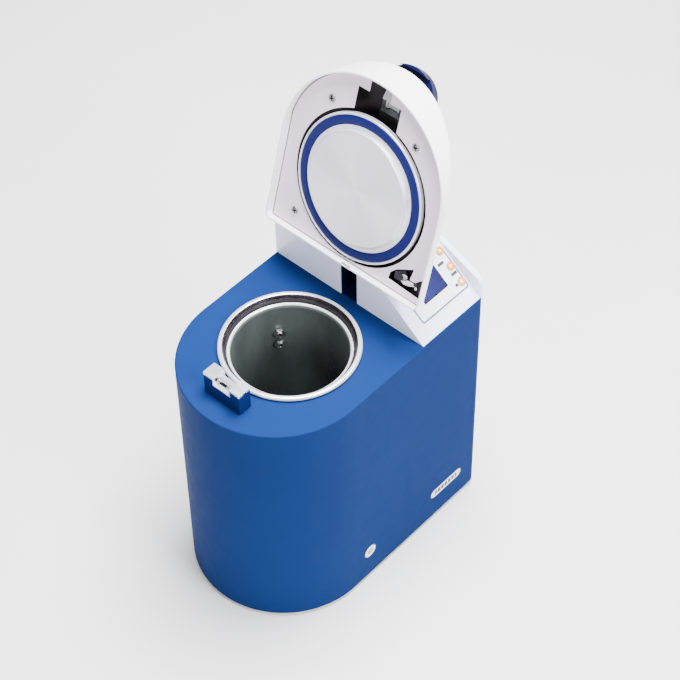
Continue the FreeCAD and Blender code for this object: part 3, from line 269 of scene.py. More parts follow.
def turned_steel(name, colour, rough, origin, turn, painted_sheen_depth):
    """Steel turned on a lathe: fine rings about an axis, and soft bright and dark sectors painted into its
    colour as painted highlights and shade.
    """
    g = Graph(name)
    local = g.vector("SUBTRACT", g.place, tuple(origin))
    spin = g.add("ShaderNodeVectorRotate", rotation_type="X_AXIS")
    spin.inputs["Angle"].default_value = turn
    g.join(local, spin.inputs["Vector"])
    split = g.add("ShaderNodeSeparateXYZ")
    g.join(spin.outputs["Vector"], split.inputs["Vector"])
    x, y, z = split.outputs
    radius = g.maths("SQRT", g.maths("ADD", g.maths("MULTIPLY", x, x), g.maths("MULTIPLY", y, y)))
    angle = g.maths("ARCTAN2", y, x)
    rings = g.add("ShaderNodeCombineXYZ")
    g.join(radius, rings.inputs[0])
    g.join(g.maths("MULTIPLY", angle, 0.0006), rings.inputs[1])
    groove = g.noise(2600.0, 2.0, place=rings.outputs[0])
    # Painted highlights: bright and dark sectors by angle stand in for the light on the turned face.
    highlight_sector = g.maths("SINE", g.maths("MULTIPLY_ADD", angle, 3.0, 0.7))
    highlight_sector = g.maths("MULTIPLY_ADD", g.maths("SINE", g.maths("MULTIPLY", angle, 5.0)), 0.4, highlight_sector)
    painted_sheen = g.span(highlight_sector, 0, 1, -1.4, 1.4)
    g.set(Base_Color=g.mix(painted_sheen, shade(colour, 1 - painted_sheen_depth), shade(colour, 1 + painted_sheen_depth)))
    g.set(Metallic=0.6)
    cloud = g.noise(30.0, 5.0)
    g.set(Roughness=g.maths("MULTIPLY", g.span(groove, 0.8, 1.2), g.span(cloud, rough * 0.9, rough * 1.15)))
    g.bump(groove, 0.000012, edge=PLASTIC_EDGE)
    return g.material


def chamber_steel(name):
    """Drawn stainless: upright draw marks in the gloss, painted shade that darkens it low down, and a painted
    highlight where the mouth rolls out.
    """
    g = Graph(name)
    draw = g.noise(220.0, 1.0, (1, 1, 0.04))
    cloud = g.noise(16.0, 5.0, (1, 1, 0.35))
    height = g.add("ShaderNodeSeparateXYZ")
    g.join(g.place, height.inputs["Vector"])
    # Painted shade: the colour gets darker towards the bottom of the chamber.
    low = g.span(height.outputs["Z"], 0.25, 1.0, CHAMBER.z - 0.05, RIM_TOP)
    tone = g.mix(g.span(cloud, 0, 1), rgb(84, 90, 92), rgb(112, 118, 118))
    shaded_wall = g.mix(low, rgb(58, 64, 66), tone)
    # Painted highlight: a bright colour where the mouth rolls outwards.
    mouth = g.span(g.radius(), 0, 1, MOUTH_R, MOUTH_R + 0.4 * MM)
    g.set(Base_Color=g.mix(mouth, shaded_wall, rgb(226, 226, 232)), Metallic=0.5)
    g.set(Roughness=g.maths("MULTIPLY", g.span(draw, 0.9, 1.15), g.span(cloud, 0.26, 0.38)))
    g.bump(g.noise(40.0, 2.0), 0.00001, 0.5)
    return g.material


def rim_steel(name):
    """Polished rim: a bright bead outside, and a recess inside that is painted dark as shade and as the
    reflection of the dark chamber.
    """
    g = Graph(name)
    bead = g.span(g.radius(), 0, 1, BEAD_R - 0.5 * MM, BEAD_R + 0.3 * MM)
    cloud = g.noise(60.0, 4.0)
    # Painted shade and reflection: the recess inside the bead is coloured dark.
    recess = g.mix(g.span(cloud, 0, 1), rgb(34, 30, 36), rgb(58, 52, 60))
    g.set(Base_Color=g.mix(bead, recess, rgb(238, 238, 244)), Metallic=0.6)
    g.set(Roughness=g.span(cloud, 0.16, 0.28))
    g.bump(g.noise(500.0, 2.0), 0.0000015, edge=0.0004)
    return g.material


def oval_label(name, node):
    """Silver oval with a dark border, and plain blocks in place of its lettering."""
    low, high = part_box(node)
    middle = (low + high) / 2
    length, height = high.y - low.y, high.z - low.z
    g = Graph(name)
    split = g.add("ShaderNodeSeparateXYZ")
    g.join(g.vector("SUBTRACT", g.place, tuple(middle)), split.inputs["Vector"])
    along, up = split.outputs["Y"], split.outputs["Z"]
    beyond = g.maths("MAXIMUM", g.maths("SUBTRACT", g.maths("ABSOLUTE", along), (length - height) / 2), 0.0)
    reach = g.maths("SQRT", g.maths("ADD", g.maths("MULTIPLY", beyond, beyond), g.maths("MULTIPLY", up, up)))
    border = g.maths("GREATER_THAN", reach, height / 2 - 1.7 * MM)
    in_line = g.maths("LESS_THAN", g.maths("ABSOLUTE", up), 0.24 * height)
    in_word = g.maths("LESS_THAN", g.maths("ABSOLUTE", along), length / 2 - 0.55 * height)
    block = g.maths("LESS_THAN", g.maths("PINGPONG", along, length / 18), 0.78 * length / 18)
    mark = g.maths("MAXIMUM", border, g.maths("MULTIPLY", block, g.maths("MULTIPLY", in_line, in_word)))
    brush = g.noise(500.0, 3.0, (1, 0.03, 1))
    silver = g.mix(g.span(brush, 0, 1), rgb(204, 208, 222), rgb(224, 226, 236))
    g.set(Base_Color=g.mix(mark, silver, rgb(34, 30, 44)), Metallic=0.3)
    g.set(Roughness=g.span(brush, 0.3, 0.45))
    g.bump(mark, 0.00003)
    return g.material


def round_label(name, node):
    """White disc with a dark rim and a grey centre ring."""
    low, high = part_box(node)
    radius = (high.z - low.z) / 2
    g = Graph(name)
    reach = g.vector("LENGTH", g.vector("SUBTRACT", g.place, tuple((low + high) / 2)))
    rim = g.maths("GREATER_THAN", reach, radius - 1.7 * MM)
    ring = g.maths("COMPARE", reach, 0.3 * radius, 0.16 * radius)
    cloud = g.noise(120.0, 4.0)
    face = g.mix(g.span(cloud, 0, 1), rgb(216, 220, 232), rgb(232, 235, 242))
    g.set(Base_Color=g.mix(rim, g.mix(ring, face, rgb(120, 112, 122)), rgb(30, 36, 70)))
    g.set(Roughness=g.span(cloud, 0.28, 0.4), Coat_Weight=0.2)
    g.bump(g.maths("MAXIMUM", rim, ring), 0.00003)
    return g.material


def lcd_glass(name):
    """Dark blue display under a clear window, with a faint dot grid behind it."""
    g = Graph(name)
    grid = g.add("ShaderNodeTexBrick", offset=0.0)
    pitch = 0.0011
    gap = 0.00012
    for key, value in (("Scale", 1.0), ("Mortar Size", gap), ("Brick Width", pitch), ("Row Height", pitch)):
        grid.inputs[key].default_value = value
    g.join(g.place, grid.inputs["Vector"])
    glow = g.span(g.noise(28.0, 2.0), 0, 1)
    body = g.mix(glow, rgb(30, 32, 76), rgb(42, 46, 94))
    g.set(Base_Color=g.mix(g.maths("MULTIPLY", grid.outputs["Fac"], 0.35), body, rgb(18, 22, 66)))
    g.set(Roughness=g.span(g.noise(80.0, 4.0), 0.1, 0.2), Coat_Weight=0.3, Coat_Roughness=0.05)
    g.bump(g.noise(300.0, 2.0), 0.00001, edge=0.0003)
    return g.material


def felt(name, colour):
    """Tufted fibre insulation."""
    g = Graph(name)
    tuft = g.noise(160.0, 8.0)
    g.set(Base_Color=g.mix(g.span(tuft, 0, 1), shade(colour, 0.75), shade(colour, 1.15)))
    g.set(Roughness=g.span(tuft, 0.85, 1.0), Sheen_Weight=0.3)
    g.bump(g.noise(420.0, 8.0), 0.0006)
    return g.material


def board(name):
    """Solder mask with faint copper tracks under it."""
    g = Graph(name)
    tracks = g.add("ShaderNodeTexVoronoi", feature="DISTANCE_TO_EDGE", distance="CHEBYCHEV")
    tracks.inputs["Scale"].default_value = 160.0
    g.join(g.place, tracks.inputs["Vector"])
    line = g.span(tracks.outputs["Distance"], 1, 0, 0.02, 0.06)
    g.set(Base_Color=g.mix(line, rgb(14, 78, 44), rgb(34, 112, 62)))
    g.set(Roughness=g.span(g.noise(90.0, 4.0), 0.3, 0.45), Coat_Weight=0.3)
    g.bump(line, 0.00004)
    return g.material


# Noise stretched along x or z, for brushed metal.
BRUSH_X = (0.02, 1, 1)
BRUSH_Z = (1, 1, 0.03)
LOOKS = {
    "body_blue": enamel("blue_enamel", rgb(17, 40, 87), 0.5),
    "navy": plastic("navy_plastic", rgb(9, 12, 52), 0.36, gloss=0.2, coat=0.08),
    "housing_white": plastic("housing_white", rgb(226, 230, 252), 0.34, spread=0.02, coat=0.2),
    "lid_white": plastic("lid_white", rgb(242, 242, 247), 0.3, spread=0.02, coat=0.25),
    "lid_inner": plastic("lid_inner_grey", rgb(217, 205, 220), 0.38, grain=1400.0, spread=0.03),
    "lining_black": plastic("black_lining", rgb(44, 38, 44), 0.55, grain=500.0, depth=0.00006, spread=0.2),
    "steel_bright": metal("polished_steel", rgb(236, 238, 244), 0.2, BRUSH_X, 300.0, 0.000004, 0.04,
                          metallic=0.75),
    "steel_brushed": turned_steel("turned_steel", rgb(228, 227, 236), 0.34, DISC_CENTRE, LID_OPEN, 0.09),
    "steel_dark": chamber_steel("drawn_steel"),
    "steel_zinc": metal("zinc_plate", rgb(176, 180, 184), 0.34, BRUSH_Z, 260.0, 0.00001, 0.12),
    "bronze": metal("bronze", rgb(176, 128, 70), 0.35, BRUSH_X, 350.0),
    "brass": metal("brass", rgb(206, 172, 96), 0.26, BRUSH_X, 350.0),
    "silicone_blue": rubber("blue_silicone", rgb(10, 17, 80), 0.5),
    "rubber_black": rubber("black_rubber", rgb(34, 33, 36), 0.6),
    "black_plastic": plastic("black_plastic", rgb(38, 38, 42), 0.45, grain=600.0, depth=0.00004, spread=0.15),
    "grey_plastic": plastic("grey_plastic", rgb(150, 150, 154), 0.5, grain=600.0),
    "badge_silver": metal("silver_label", rgb(196, 200, 208), 0.4, BRUSH_X, 500.0, 0.000005, 0.03),
    "badge_white": plastic("white_label", rgb(226, 230, 230), 0.3, spread=0.03, coat=0.3),
    "panel_film": plastic("panel_film", rgb(226, 232, 240), 0.36, grain=2200.0, depth=0.00001, spread=0.02),
    "display": lcd_glass("display_glass"),
    "button_orange": plastic("key_cream", rgb(246, 226, 186), 0.35, spread=0.04, coat=0.3),
    "board_green": board("circuit_board"),
    "fibre": felt("fibre_felt", rgb(206, 200, 182)),
    "mica": plastic("mica_band", rgb(140, 116, 84), 0.5, grain=240.0, depth=0.0001, spread=0.2),
    "copper": metal("copper_tube", rgb(196, 122, 84), 0.3, BRUSH_X, 300.0, stain=0.2),
}
# Nodes that look different from the rest of their slot.
NODE_LOOKS = {
    "chamber_rim": rim_steel("rim_steel"),
    # The keeper's pedestal is the body's blue made a little darker: painted shade.
    "keeper_pedestal": enamel("keeper_enamel_painted_shade", rgb(14, 33, 84), 0.45),
    # The hook is pale and mostly not metallic so that it shows bright in its shaded pocket: a painted
    # highlight.
    "latch_hook": metal("hook_nickel_painted_bright", rgb(240, 238, 240), 0.26, BRUSH_X, 300.0, metallic=0.4),
    "oval_badge": oval_label("oval_label", "oval_badge"),
    "round_badge": round_label("round_label", "round_badge"),
    "interlock_striker": metal("striker_steel", rgb(66, 62, 68), 0.4, BRUSH_X, 300.0, stain=0.2),
}
KEY_ORANGE = plastic("key_orange", rgb(214, 134, 36), 0.32, spread=0.05, coat=0.4)
MARK_GREY = plastic("printed_grey", rgb(56, 50, 60), 0.45, grain=2500.0, spread=0.08)
LINE_BLUE = plastic("printed_line", rgb(84, 104, 134), 0.4, grain=2500.0, spread=0.06)
MARK_WHITE = plastic("printed_white", rgb(232, 232, 232), 0.4, grain=2500.0, spread=0.04)
DISPLAY_EDGE = plastic("display_edge", rgb(20, 20, 50), 0.3, spread=0.1, coat=0.2)
SHADOW_GAP = plastic("lip_shadow_grey", rgb(104, 98, 108), 0.6, spread=0.1, gloss=0.2)
# Near-black painted shade, for flat patches in place of holes and for the insides of screw recesses.
RECESS_SHADE = plastic("recess_painted_shade", rgb(30, 28, 32), 0.5, spread=0.1, gloss=0.2)
SCREW_GREY = metal("screw_steel", rgb(150, 148, 154), 0.35, (1, 1, 1), 500.0, stain=0.15)
FLOOR = plastic("floor_card", rgb(224, 224, 227), 0.85, grain=120.0, depth=0.0001, spread=0.01)

for entry in frame["record"]["subparts"]:
    mesh = NODES[entry["node"]].data
    mesh.materials.clear()
    mesh.materials.append(NODE_LOOKS.get(entry["node"]) or LOOKS[entry["material_slot"]])


# ------------------------------------------------------------------ building pieces
SHARP_ANGLE = math.radians(35)
SAME_POINT = 1e-6
CORNER_POINTS = 6
BEAD_POINTS = 12
SCREW_HEIGHT = 2.2 * MM
SCREW_OVERSIZE = 1.15        # a finished head is this much wider than the plain one
RECESS_TURN = 20             # degrees between a screw's cross and its frame


def add_piece(name, mesh, body, look):
    """Links a finished mesh as a piece that rides on a body."""
    obj = bpy.data.objects.new(name, mesh)
    bpy.context.scene.collection.objects.link(obj)
    mesh.materials.clear()
    mesh.materials.append(look)
    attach(obj, body)
    return obj


def mesh_from(bm, name, place=Matrix.Identity(4), smooth=True):
    """Turns a bmesh into a mesh, moved to its place."""
    bmesh.ops.recalc_face_normals(bm, faces=bm.faces)
    bm.transform(place)
    mesh = bpy.data.meshes.new(name)
    bm.to_mesh(mesh)
    bm.free()
    for face in mesh.polygons:
        face.use_smooth = smooth
    return mesh


def soften(obj, width, segments=3):
    """Rounds the sharp edges of a piece and evens out its shading."""
    bevel = obj.modifiers.new("round", "BEVEL")
    bevel.width = width
    bevel.segments = segments
    bevel.limit_method = "ANGLE"
    bevel.angle_limit = SHARP_ANGLE
    bevel.harden_normals = True
    obj.modifiers.new("shade", "WEIGHTED_NORMAL").keep_sharp = True
    return obj


def rounded_copy(node, width, segments=3):
    """A copy of a CAD node with its triangles merged into faces and its edges rounded."""
    source = NODES[node]
    bm = bmesh.new()
    bm.from_mesh(source.data)
    bmesh.ops.remove_doubles(bm, verts=bm.verts, dist=SAME_POINT)
    bmesh.ops.dissolve_limit(bm, angle_limit=math.radians(0.4), verts=bm.verts, edges=bm.edges)
    mesh = mesh_from(bm, node + "_finished")
    obj = add_piece(node + "_finished", mesh, source["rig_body"], source.data.materials[0])
    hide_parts(node)
    return soften(obj, width, segments)


def slab(size, place):
    """Bmesh of a box with the given full sizes, centred on the place's origin."""
    bm = bmesh.new()
    bmesh.ops.create_cube(bm, size=1.0, matrix=place @ Matrix.Diagonal((*size, 1.0)))
    return bm


def bar(name, size, place, body, look, edge):
    """A box-shaped piece with its edges rounded."""
    obj = add_piece(name, mesh_from(slab(size, place), name), body, look)
    return soften(obj, edge, 2)


def lathe(profile, steps):
    """Bmesh of a (radius, height) profile turned about z."""
    bm = bmesh.new()
    points = [bm.verts.new((r, 0, z)) for r, z in profile]
    edges = [bm.edges.new(pair) for pair in zip(points, points[1:] + points[:1])]
    bmesh.ops.spin(bm, geom=points + edges, axis=(0, 0, 1), cent=(0, 0, 0), angle=2 * math.pi, steps=steps)
    bmesh.ops.remove_doubles(bm, verts=bm.verts, dist=1e-7)
    bmesh.ops.dissolve_degenerate(bm, edges=bm.edges, dist=1e-7)
    return bm


def ring_profile(radius, half_width, height):
    """Outline of a half-round bead standing on z = 0."""
    arc = [math.pi * i / (BEAD_POINTS - 1) for i in range(BEAD_POINTS)]
    return [(radius + half_width * math.cos(a), height * math.sin(a)) for a in arc]


def rounded_rect(width, height, r):
    """Outline of a rectangle with rounded corners, round the origin."""
    outline = []
    for sx, sy, start in ((1, 1, 0), (-1, 1, 90), (-1, -1, 180), (1, -1, 270)):
        for i in range(CORNER_POINTS):
            a = math.radians(start + 90 * i / (CORNER_POINTS - 1))
            outline.append((sx * (width / 2 - r) + r * math.cos(a), sy * (height / 2 - r) + r * math.sin(a)))
    return outline


def band(outer, inner, z0, z1):
    """Bmesh of a closed flat band between two outlines with the same number of points."""
    bm = bmesh.new()
    rows = [[bm.verts.new((x, y, z)) for x, y in line] for line, z in
            ((outer, z0), (outer, z1), (inner, z1), (inner, z0))]
    count = len(outer)
    for a, b in zip(rows, rows[1:] + rows[:1]):
        for i in range(count):
            j = (i + 1) % count
            bm.faces.new((a[i], a[j], b[j], b[i]))
    return bm


def prism(outline, z0, z1):
    """Bmesh of an outline given thickness."""
    bm = bmesh.new()
    low = [bm.verts.new((x, y, z0)) for x, y in outline]
    high = [bm.verts.new((x, y, z1)) for x, y in outline]
    bm.faces.new(low)
    bm.faces.new(high)
    for i in range(len(outline)):
        j = (i + 1) % len(outline)
        bm.faces.new((low[i], low[j], high[j], high[i]))
    return bm


def screw_head(name, place, body, look, r):
    """Pan head with a cross recess; it stands on the place's xy plane."""
    h = SCREW_HEIGHT
    foot = -0.2 * MM
    slot_r = 0.68 * r
    profile = [(0, foot), (r, foot), (r, 0.45 * h), (0.93 * r, 0.72 * h), (0.75 * r, 0.92 * h)]
    profile += [(0.45 * r, h), (0, h)]
    head = add_piece(name, mesh_from(lathe(profile, 32), name, place), body, look)
    for turn in (0, 90):
        spin = Matrix.Rotation(math.radians(turn + RECESS_TURN), 4, "Z")
        cutter_place = place @ spin @ Matrix.Translation((0, 0, h))
        cutter_mesh = mesh_from(slab((2 * slot_r, 0.34 * r, 1.5 * h), cutter_place), "cutter")
        # The faces of the cut recess take this painted shade.
        cutter_mesh.materials.append(RECESS_SHADE)
        cutter = bpy.data.objects.new("cutter", cutter_mesh)
        cut = head.modifiers.new("recess", "BOOLEAN")
        cut.object = cutter
        cut.solver = "EXACT"
        cut.material_mode = "TRANSFER"
        bpy.context.scene.collection.objects.link(cutter)
        bake_modifiers(head)
        bpy.data.objects.remove(cutter)
    return soften(head, 0.12 * MM, 2)


def bake_modifiers(obj):
    """Replaces an object's mesh by its evaluated one and drops the modifiers."""
    depsgraph = bpy.context.evaluated_depsgraph_get()
    mesh = bpy.data.meshes.new_from_object(obj.evaluated_get(depsgraph))
    obj.modifiers.clear()
    obj.data = mesh


# ------------------------------------------------------------------ lid, housing and latch
rounded_copy("lid_cover", 1.2 * MM)
rounded_copy("latch_handle", 2.4 * MM, 4)
rounded_copy("rear_housing", 1.0 * MM)
rounded_copy("keeper_cap", 0.5 * MM)
rounded_copy("keeper_pedestal", 1.2 * MM)
rounded_copy("latch_hook", 0.8 * MM)
rounded_copy("lid_plate", 0.35 * MM, 2)

# Flat black patches painted as the shade in latch holes in the keeper's saddle, and a painted shade along its
# left cheek: size and offset in millimetres.
PIN = centre("keeper_pin")
SADDLE_Z = PIN.z - 8.5 * MM
KEEPER_SHADE_MARKS = (("keeper_hole_shade_front", (12, 5, 0.4), (-5, -1.5, 0)),
                ("keeper_hole_shade_rear", (9, 3.6, 0.4), (-3, 5, 0)),
                ("keeper_cheek_shade", (0.5, 9, 5), (-14.8, -3, 6.5)))
for name, size, at in KEEPER_SHADE_MARKS:
    place = Matrix.Translation(Vector((PIN.x, PIN.y, SADDLE_Z)) + Vector(at) * MM)
    bar(name, Vector(size) * MM, place, "machine", RECESS_SHADE, 0.15 * MM)


def islands(node):
    """The vertices of each separate solid in a node."""
    bm = bmesh.new()
    bm.from_mesh(NODES[node].data)
    bmesh.ops.remove_doubles(bm, verts=bm.verts, dist=SAME_POINT)
    left = set(bm.verts)
    found = []
    while left:
        group, waiting = [], [left.pop()]
        while waiting:
            v = waiting.pop()
            group.append(v.co.copy())
            for edge in v.link_edges:
                other = edge.other_vert(v)
                if other in left:
                    left.remove(other)
                    waiting.append(other)
        found.append(group)
    bm.free()
    return sorted(found, key=lambda points: tuple(round(c, 4) for c in sum(points, Vector()) / len(points)))


def frame_facing(origin, out):
    """A local frame whose z points out of a surface and whose y is as near up as it can be."""
    out = out.normalized()
    across = Vector((0, 0, 1)).cross(out).normalized()
    return axes_matrix(origin, across, out.cross(across), out)


def cross_screws(node, surface, out, body):
    """Puts a cross-recessed pan head on the surface in place of each plain screw of a node."""
    level = max(v.co.dot(out) for v in NODES[surface].data.vertices)
    for index, points in enumerate(islands(node)):
        middle = (Vector(min(p[i] for p in points) for i in range(3))
                  + Vector(max(p[i] for p in points) for i in range(3))) / 2
        seat = middle + out * (level - middle.dot(out))
        radius = SCREW_OVERSIZE * max(((p - middle) - out * (p - middle).dot(out)).length for p in points)
        head = screw_head(f"{node}_{index}", frame_facing(seat, out), body, SCREW_GREY, radius)
        if index == 0:
            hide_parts(node)


LID_OUT = (LID.to_3x3() @ Vector((0, 0, -1))).normalized()
cross_screws("lid_screws", "lid_plate", LID_OUT, "lid")
cross_screws("rear_screws", "rear_panel", Vector((0, 1, 0)), "machine")

# Closed-lid coordinates, from the disc's centre, carried to the open lid.
ON_LID = LID @ Matrix.Translation((0, CHAMBER.y, 0))
plate_points = [ON_LID.inverted() @ v.co for v in NODES["lid_plate"].data.vertices]
PLATE_FACE = min(p.z for p in plate_points)
flat_points = [Vector((p.x, p.y)) for p in plate_points]
plate_edge = [flat_points[i] for i in convex_hull_2d(flat_points)]


def drawn_in(outline, depth_at):
    """An outline moved inwards by a depth that may change along it."""
    middle = sum(outline, Vector((0, 0))) / len(outline)
    moved = []
    for i, point in enumerate(outline):
        along = (outline[(i + 1) % len(outline)] - outline[i - 1]).normalized()
        inwards = Vector((-along.y, along.x))
        if inwards.dot(middle - point) < 0:
            inwards = -inwards
        moved.append(point + inwards * depth_at(point))
    return moved


# A grey band along the plate's edge is painted shadow of the cover's lip.
REAR_FROM = 100 * MM
REAR_SHADOW = 1.7 * MM
LEFT_SHADOW_MM = 1.8
CLOSES_BY_MM = 1.5
CLOSES_OVER = 60 * MM


def lip_shadow_width(point):
    """The painted shadow round the plate is wide at the left and the rear, and closes at the right."""
    if point.y > REAR_FROM:
        return REAR_SHADOW
    share = min(1.0, max(0.0, point.x / CLOSES_OVER))
    return (LEFT_SHADOW_MM - CLOSES_BY_MM * share) * MM


lip_shadow_outer = drawn_in(plate_edge, lambda point: 0.1 * MM)
lip_shadow_inner = drawn_in(plate_edge, lip_shadow_width)
gap = band(lip_shadow_outer, lip_shadow_inner, PLATE_FACE - 0.15 * MM, PLATE_FACE + 0.3 * MM)
add_piece("plate_lip_shadow", mesh_from(gap, "plate_lip_shadow", ON_LID, smooth=False), "lid", SHADOW_GAP)

# Interlock switch, spring tongue and block in the corner pocket: outline and heights in millimetres.
INTERLOCK = (
    ("interlock_switch", ((96, 92), (102, 86), (109, 85.5), (110, 90), (101, 94.5)), -1.2, 1.6,
     "grey_plastic"),
    ("interlock_spring", ((101, 97), (112, 91), (121, 90), (126, 93.5), (117, 97.5), (107, 100)), -0.5, 0.7,
     "lid_inner"),
    ("interlock_block", ((122.5, 87), (128, 87), (128, 92.5), (122.5, 92.5)), -0.9, 0.9, "black_plastic"))
for name, outline_mm, z0, z1, slot in INTERLOCK:
    shape = prism([(x * MM, y * MM) for x, y in outline_mm], PLATE_FACE + z0 * MM, PLATE_FACE + z1 * MM)
    soften(add_piece(name, mesh_from(shape, name, ON_LID), "lid", LOOKS[slot]), 0.4 * MM, 2)

# A rivet beside them: (radius, height) in millimetres.
RIVET_MM = ((0, -0.4), (2.0, -0.4), (2.0, 0.4), (1.4, 1.1), (0, 1.3))
rivet = lathe([(r * MM, z * MM) for r, z in RIVET_MM], 24)
rivet_spot = Matrix.Translation((128 * MM, 95.5 * MM, PLATE_FACE))
rivet_place = ON_LID @ rivet_spot @ Matrix.Rotation(math.pi, 4, "X")
rivet_mesh = mesh_from(rivet, "interlock_rivet", rivet_place)
add_piece("interlock_rivet", rivet_mesh, "lid", LOOKS["steel_bright"])

# Nylon washers beside the hook on the latch shaft: (radius, height) in millimetres.
WASHER_MM = ((4.3, 0), (7.6, 0), (8.2, 0.6), (8.2, 2.2), (7.6, 2.8), (4.3, 2.8))
WASHER_OUT = 9.3 * MM
shaft_mid = Vector(JOINTS["latch_pivot"]["pos_m"])
for side, name in ((-1, "latch_washer_left"), (1, "latch_washer_right")):
    washer = lathe([(r * MM, z * MM) for r, z in WASHER_MM], 40)
    washer_place = frame_facing(shaft_mid + Vector((side * WASHER_OUT, 0, 0)), Vector((side, 0, 0)))
    add_piece(name, mesh_from(washer, name, washer_place), "latch", LOOKS["badge_white"])

# Steel hinge saddle over the lip, in front of the arm's slot.
cover_points = [ON_LID.inverted() @ v.co for v in NODES["lid_cover"].data.vertices]
lip_rear = max(p.y for p in cover_points)
lip_low = min(p.z for p in cover_points)
SADDLE_X = 12 * MM
SADDLE_WIDTH = 17 * MM
for name, depth, height, back, rise, rounding in (("hinge_saddle", 1.2, 26, 0.5, 13.2, 0.4),
                                                  ("hinge_saddle_edge", 5.6, 1.0, -2.0, 0.6, 0.3)):
    place = ON_LID @ Matrix.Translation((SADDLE_X, lip_rear + back * MM, lip_low + rise * MM))
    size = (SADDLE_WIDTH, depth * MM, height * MM)
    bar(name, size, place, "lid", LOOKS["steel_zinc"], rounding * MM)


# ------------------------------------------------------------------ marks on the controls behind
def on_face(node, x, z):
    """A frame on a rear control's outer face, where a line from behind meets it."""
    hit, spot, normal, _ = NODES[node].ray_cast(Vector((x, 1.0, z)), Vector((0, -1, 0)))
    assert hit, f"nothing to mark on {node}"
    return frame_facing(spot, normal)


MARK_OFFSET = 5 * MM          # from the middle of the control to its mark
MARK_EDGE = 0.05 * MM
rocker = centre("power_rocker")
on_place = on_face("power_rocker", rocker.x, rocker.z + MARK_OFFSET)
on_size = (1.0 * MM, 4.0 * MM, 0.2 * MM)
bar("rocker_on_mark", on_size, on_place, "mains_rocker", MARK_WHITE, MARK_EDGE)
off_mark = lathe(ring_profile(1.7 * MM, 0.45 * MM, 0.12 * MM), 32)
off_place = on_face("power_rocker", rocker.x, rocker.z - MARK_OFFSET)
off_mesh = mesh_from(off_mark, "rocker_off_mark", off_place)
add_piece("rocker_off_mark", off_mesh, "mains_rocker", MARK_WHITE)
knob = centre("drain_knob")
pointer_place = on_face("drain_knob", knob.x, knob.z + MARK_OFFSET)
pointer_size = (1.3 * MM, 6.0 * MM, 0.24 * MM)
bar("knob_pointer", pointer_size, pointer_place, "drain_control", MARK_WHITE, MARK_EDGE)


# ------------------------------------------------------------------ control panel
for node, body in KEYS.items():
    place = key_frame(node)
    ring = lathe(ring_profile(4.5 * MM, 2.0 * MM, 0.5 * MM), 48)
    add_piece(node + "_ring", mesh_from(ring, node + "_ring", place), body, KEY_ORANGE)

panel_low, panel_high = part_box("panel_overlay")
PANEL_MID = (panel_low + panel_high) / 2
panel_t = [(v.co - PANEL_MID).dot(PANEL_DOWN) for v in NODES["panel_overlay"].data.vertices]
panel_h = [(v.co - PANEL_MID).dot(PANEL_OUT) for v in NODES["panel_overlay"].data.vertices]
PANEL = axes_matrix(PANEL_MID + PANEL_OUT * max(panel_h), PANEL_DOWN, Vector((0, 1, 0)), PANEL_OUT)
PANEL_W = max(panel_t) - min(panel_t)
PANEL_D = panel_high.y - panel_low.y


def on_panel(x, y, z=0.0):
    """A frame on the panel film: x down the panel, y to the back, z above its face."""
    return PANEL @ Matrix.Translation((x, y, z))


outer_edge = rounded_rect(PANEL_W - 2.4 * MM, PANEL_D - 2.4 * MM, 5 * MM)
inner_edge = rounded_rect(PANEL_W - 7.2 * MM, PANEL_D - 7.2 * MM, 2.6 * MM)
outline_mesh = mesh_from(band(outer_edge, inner_edge, -0.05 * MM, 0.12 * MM), "panel_outline", PANEL)
add_piece("panel_outline", outline_mesh, "machine", LINE_BLUE)

# Grey bars stand in for the printed words beside the keys: offsets and length in millimetres.
LABELS = (("start_button", 0.5, 9.8, 5.0),
          ("program_button", 12.0, 2.0, 12.0),
          ("stop_button", 16.0, 11.0, 12.0))
for index, (node, down, forward, length) in enumerate(LABELS):
    local = PANEL.inverted() @ key_frame(node).translation
    label = on_panel(local.x + down * MM, local.y - forward * MM)
    label_size = (4.6 * MM, length * MM, 0.16 * MM)
    bar(f"key_label_{index}", label_size, label, "machine", MARK_GREY, MARK_EDGE)

window = [PANEL.inverted() @ v.co for v in NODES["display_window"].data.vertices]
window_low = Vector(min(p[i] for p in window) for i in range(3))
window_high = Vector(max(p[i] for p in window) for i in range(3))
window_size = window_high - window_low
window_mid = (window_low + window_high) / 2
border = band(rounded_rect(window_size.x + 1.0 * MM, window_size.y + 1.0 * MM, 1.5 * MM),
              rounded_rect(window_size.x - 4.0 * MM, window_size.y - 4.0 * MM, 0.8 * MM), -0.1 * MM, 0.2 * MM)
border_place = on_panel(window_mid.x, window_mid.y, window_high.z)
border_mesh = mesh_from(border, "display_border", border_place, smooth=False)
add_piece("display_border", border_mesh, "machine", DISPLAY_EDGE)


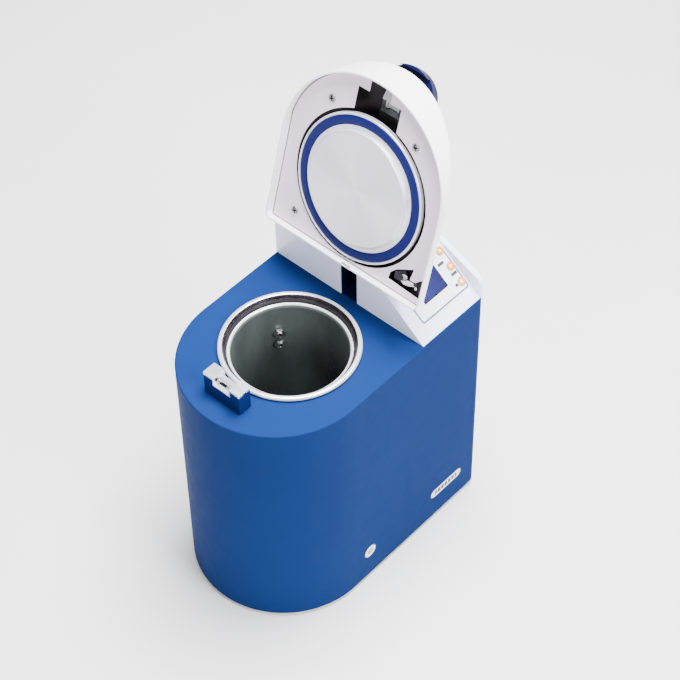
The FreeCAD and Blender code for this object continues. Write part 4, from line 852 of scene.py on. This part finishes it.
# ------------------------------------------------------------------ floor, light and camera
def sheet(name, size, look):
    """A flat square that stays put at every pose."""
    bm = bmesh.new()
    bmesh.ops.create_grid(bm, x_segments=1, y_segments=1, size=size)
    mesh = mesh_from(bm, name)
    obj = bpy.data.objects.new(name, mesh)
    bpy.context.scene.collection.objects.link(obj)
    mesh.materials.append(look)


FLOOR_REACH = 12.0
sheet("floor", FLOOR_REACH, FLOOR)


def area_light(name, at, target, size, power):
    """A round lamp of the given width in metres and power in watts."""
    lamp = bpy.data.lights.new(name, "AREA")
    lamp.shape = "DISK"
    lamp.size = size
    lamp.energy = power
    obj = bpy.data.objects.new(name, lamp)
    obj.location = at
    obj.rotation_euler = (Vector(target) - Vector(at)).to_track_quat("-Z", "Y").to_euler()
    bpy.context.scene.collection.objects.link(obj)


AIM = (0, 0, 0.35)
area_light("key_light", (2.3, -0.1, 2.0), AIM, 1.4, 125)
area_light("fill_light", (0.5, -3.0, 2.2), AIM, 1.2, 68)
area_light("top_light", (0.1, 0.5, 3.2), AIM, 1.8, 490)

world = bpy.data.worlds.new("studio")
world.use_nodes = True
world.node_tree.nodes["Background"].inputs["Color"].default_value = (0.93, 0.95, 1.0, 1.0)
world.node_tree.nodes["Background"].inputs["Strength"].default_value = 0.35
bpy.context.scene.world = world

# Camera placed where the photograph was taken from: 42.8 degrees round to the right, 48.2 degrees up.
CAMERA_AT = Vector((1.40918, -1.47043, 2.67713))
VIEW = Vector((-0.45314, 0.48860, -0.74561)).normalized()
ROLL = math.radians(-1.078)
SENSOR_MM = 36.0
LENS_MM = 111.54
camera_data = bpy.data.cameras.new("camera")
camera_data.sensor_width = SENSOR_MM
camera_data.lens = LENS_MM
camera = bpy.data.objects.new("camera", camera_data)
bpy.context.scene.collection.objects.link(camera)
level_right = VIEW.cross(Vector((0, 0, 1))).normalized()
level_up = level_right.cross(VIEW)
right = math.cos(ROLL) * level_right + math.sin(ROLL) * level_up
up = -math.sin(ROLL) * level_right + math.cos(ROLL) * level_up
camera.matrix_world = axes_matrix(CAMERA_AT, right, up, -VIEW)
bpy.context.scene.camera = camera
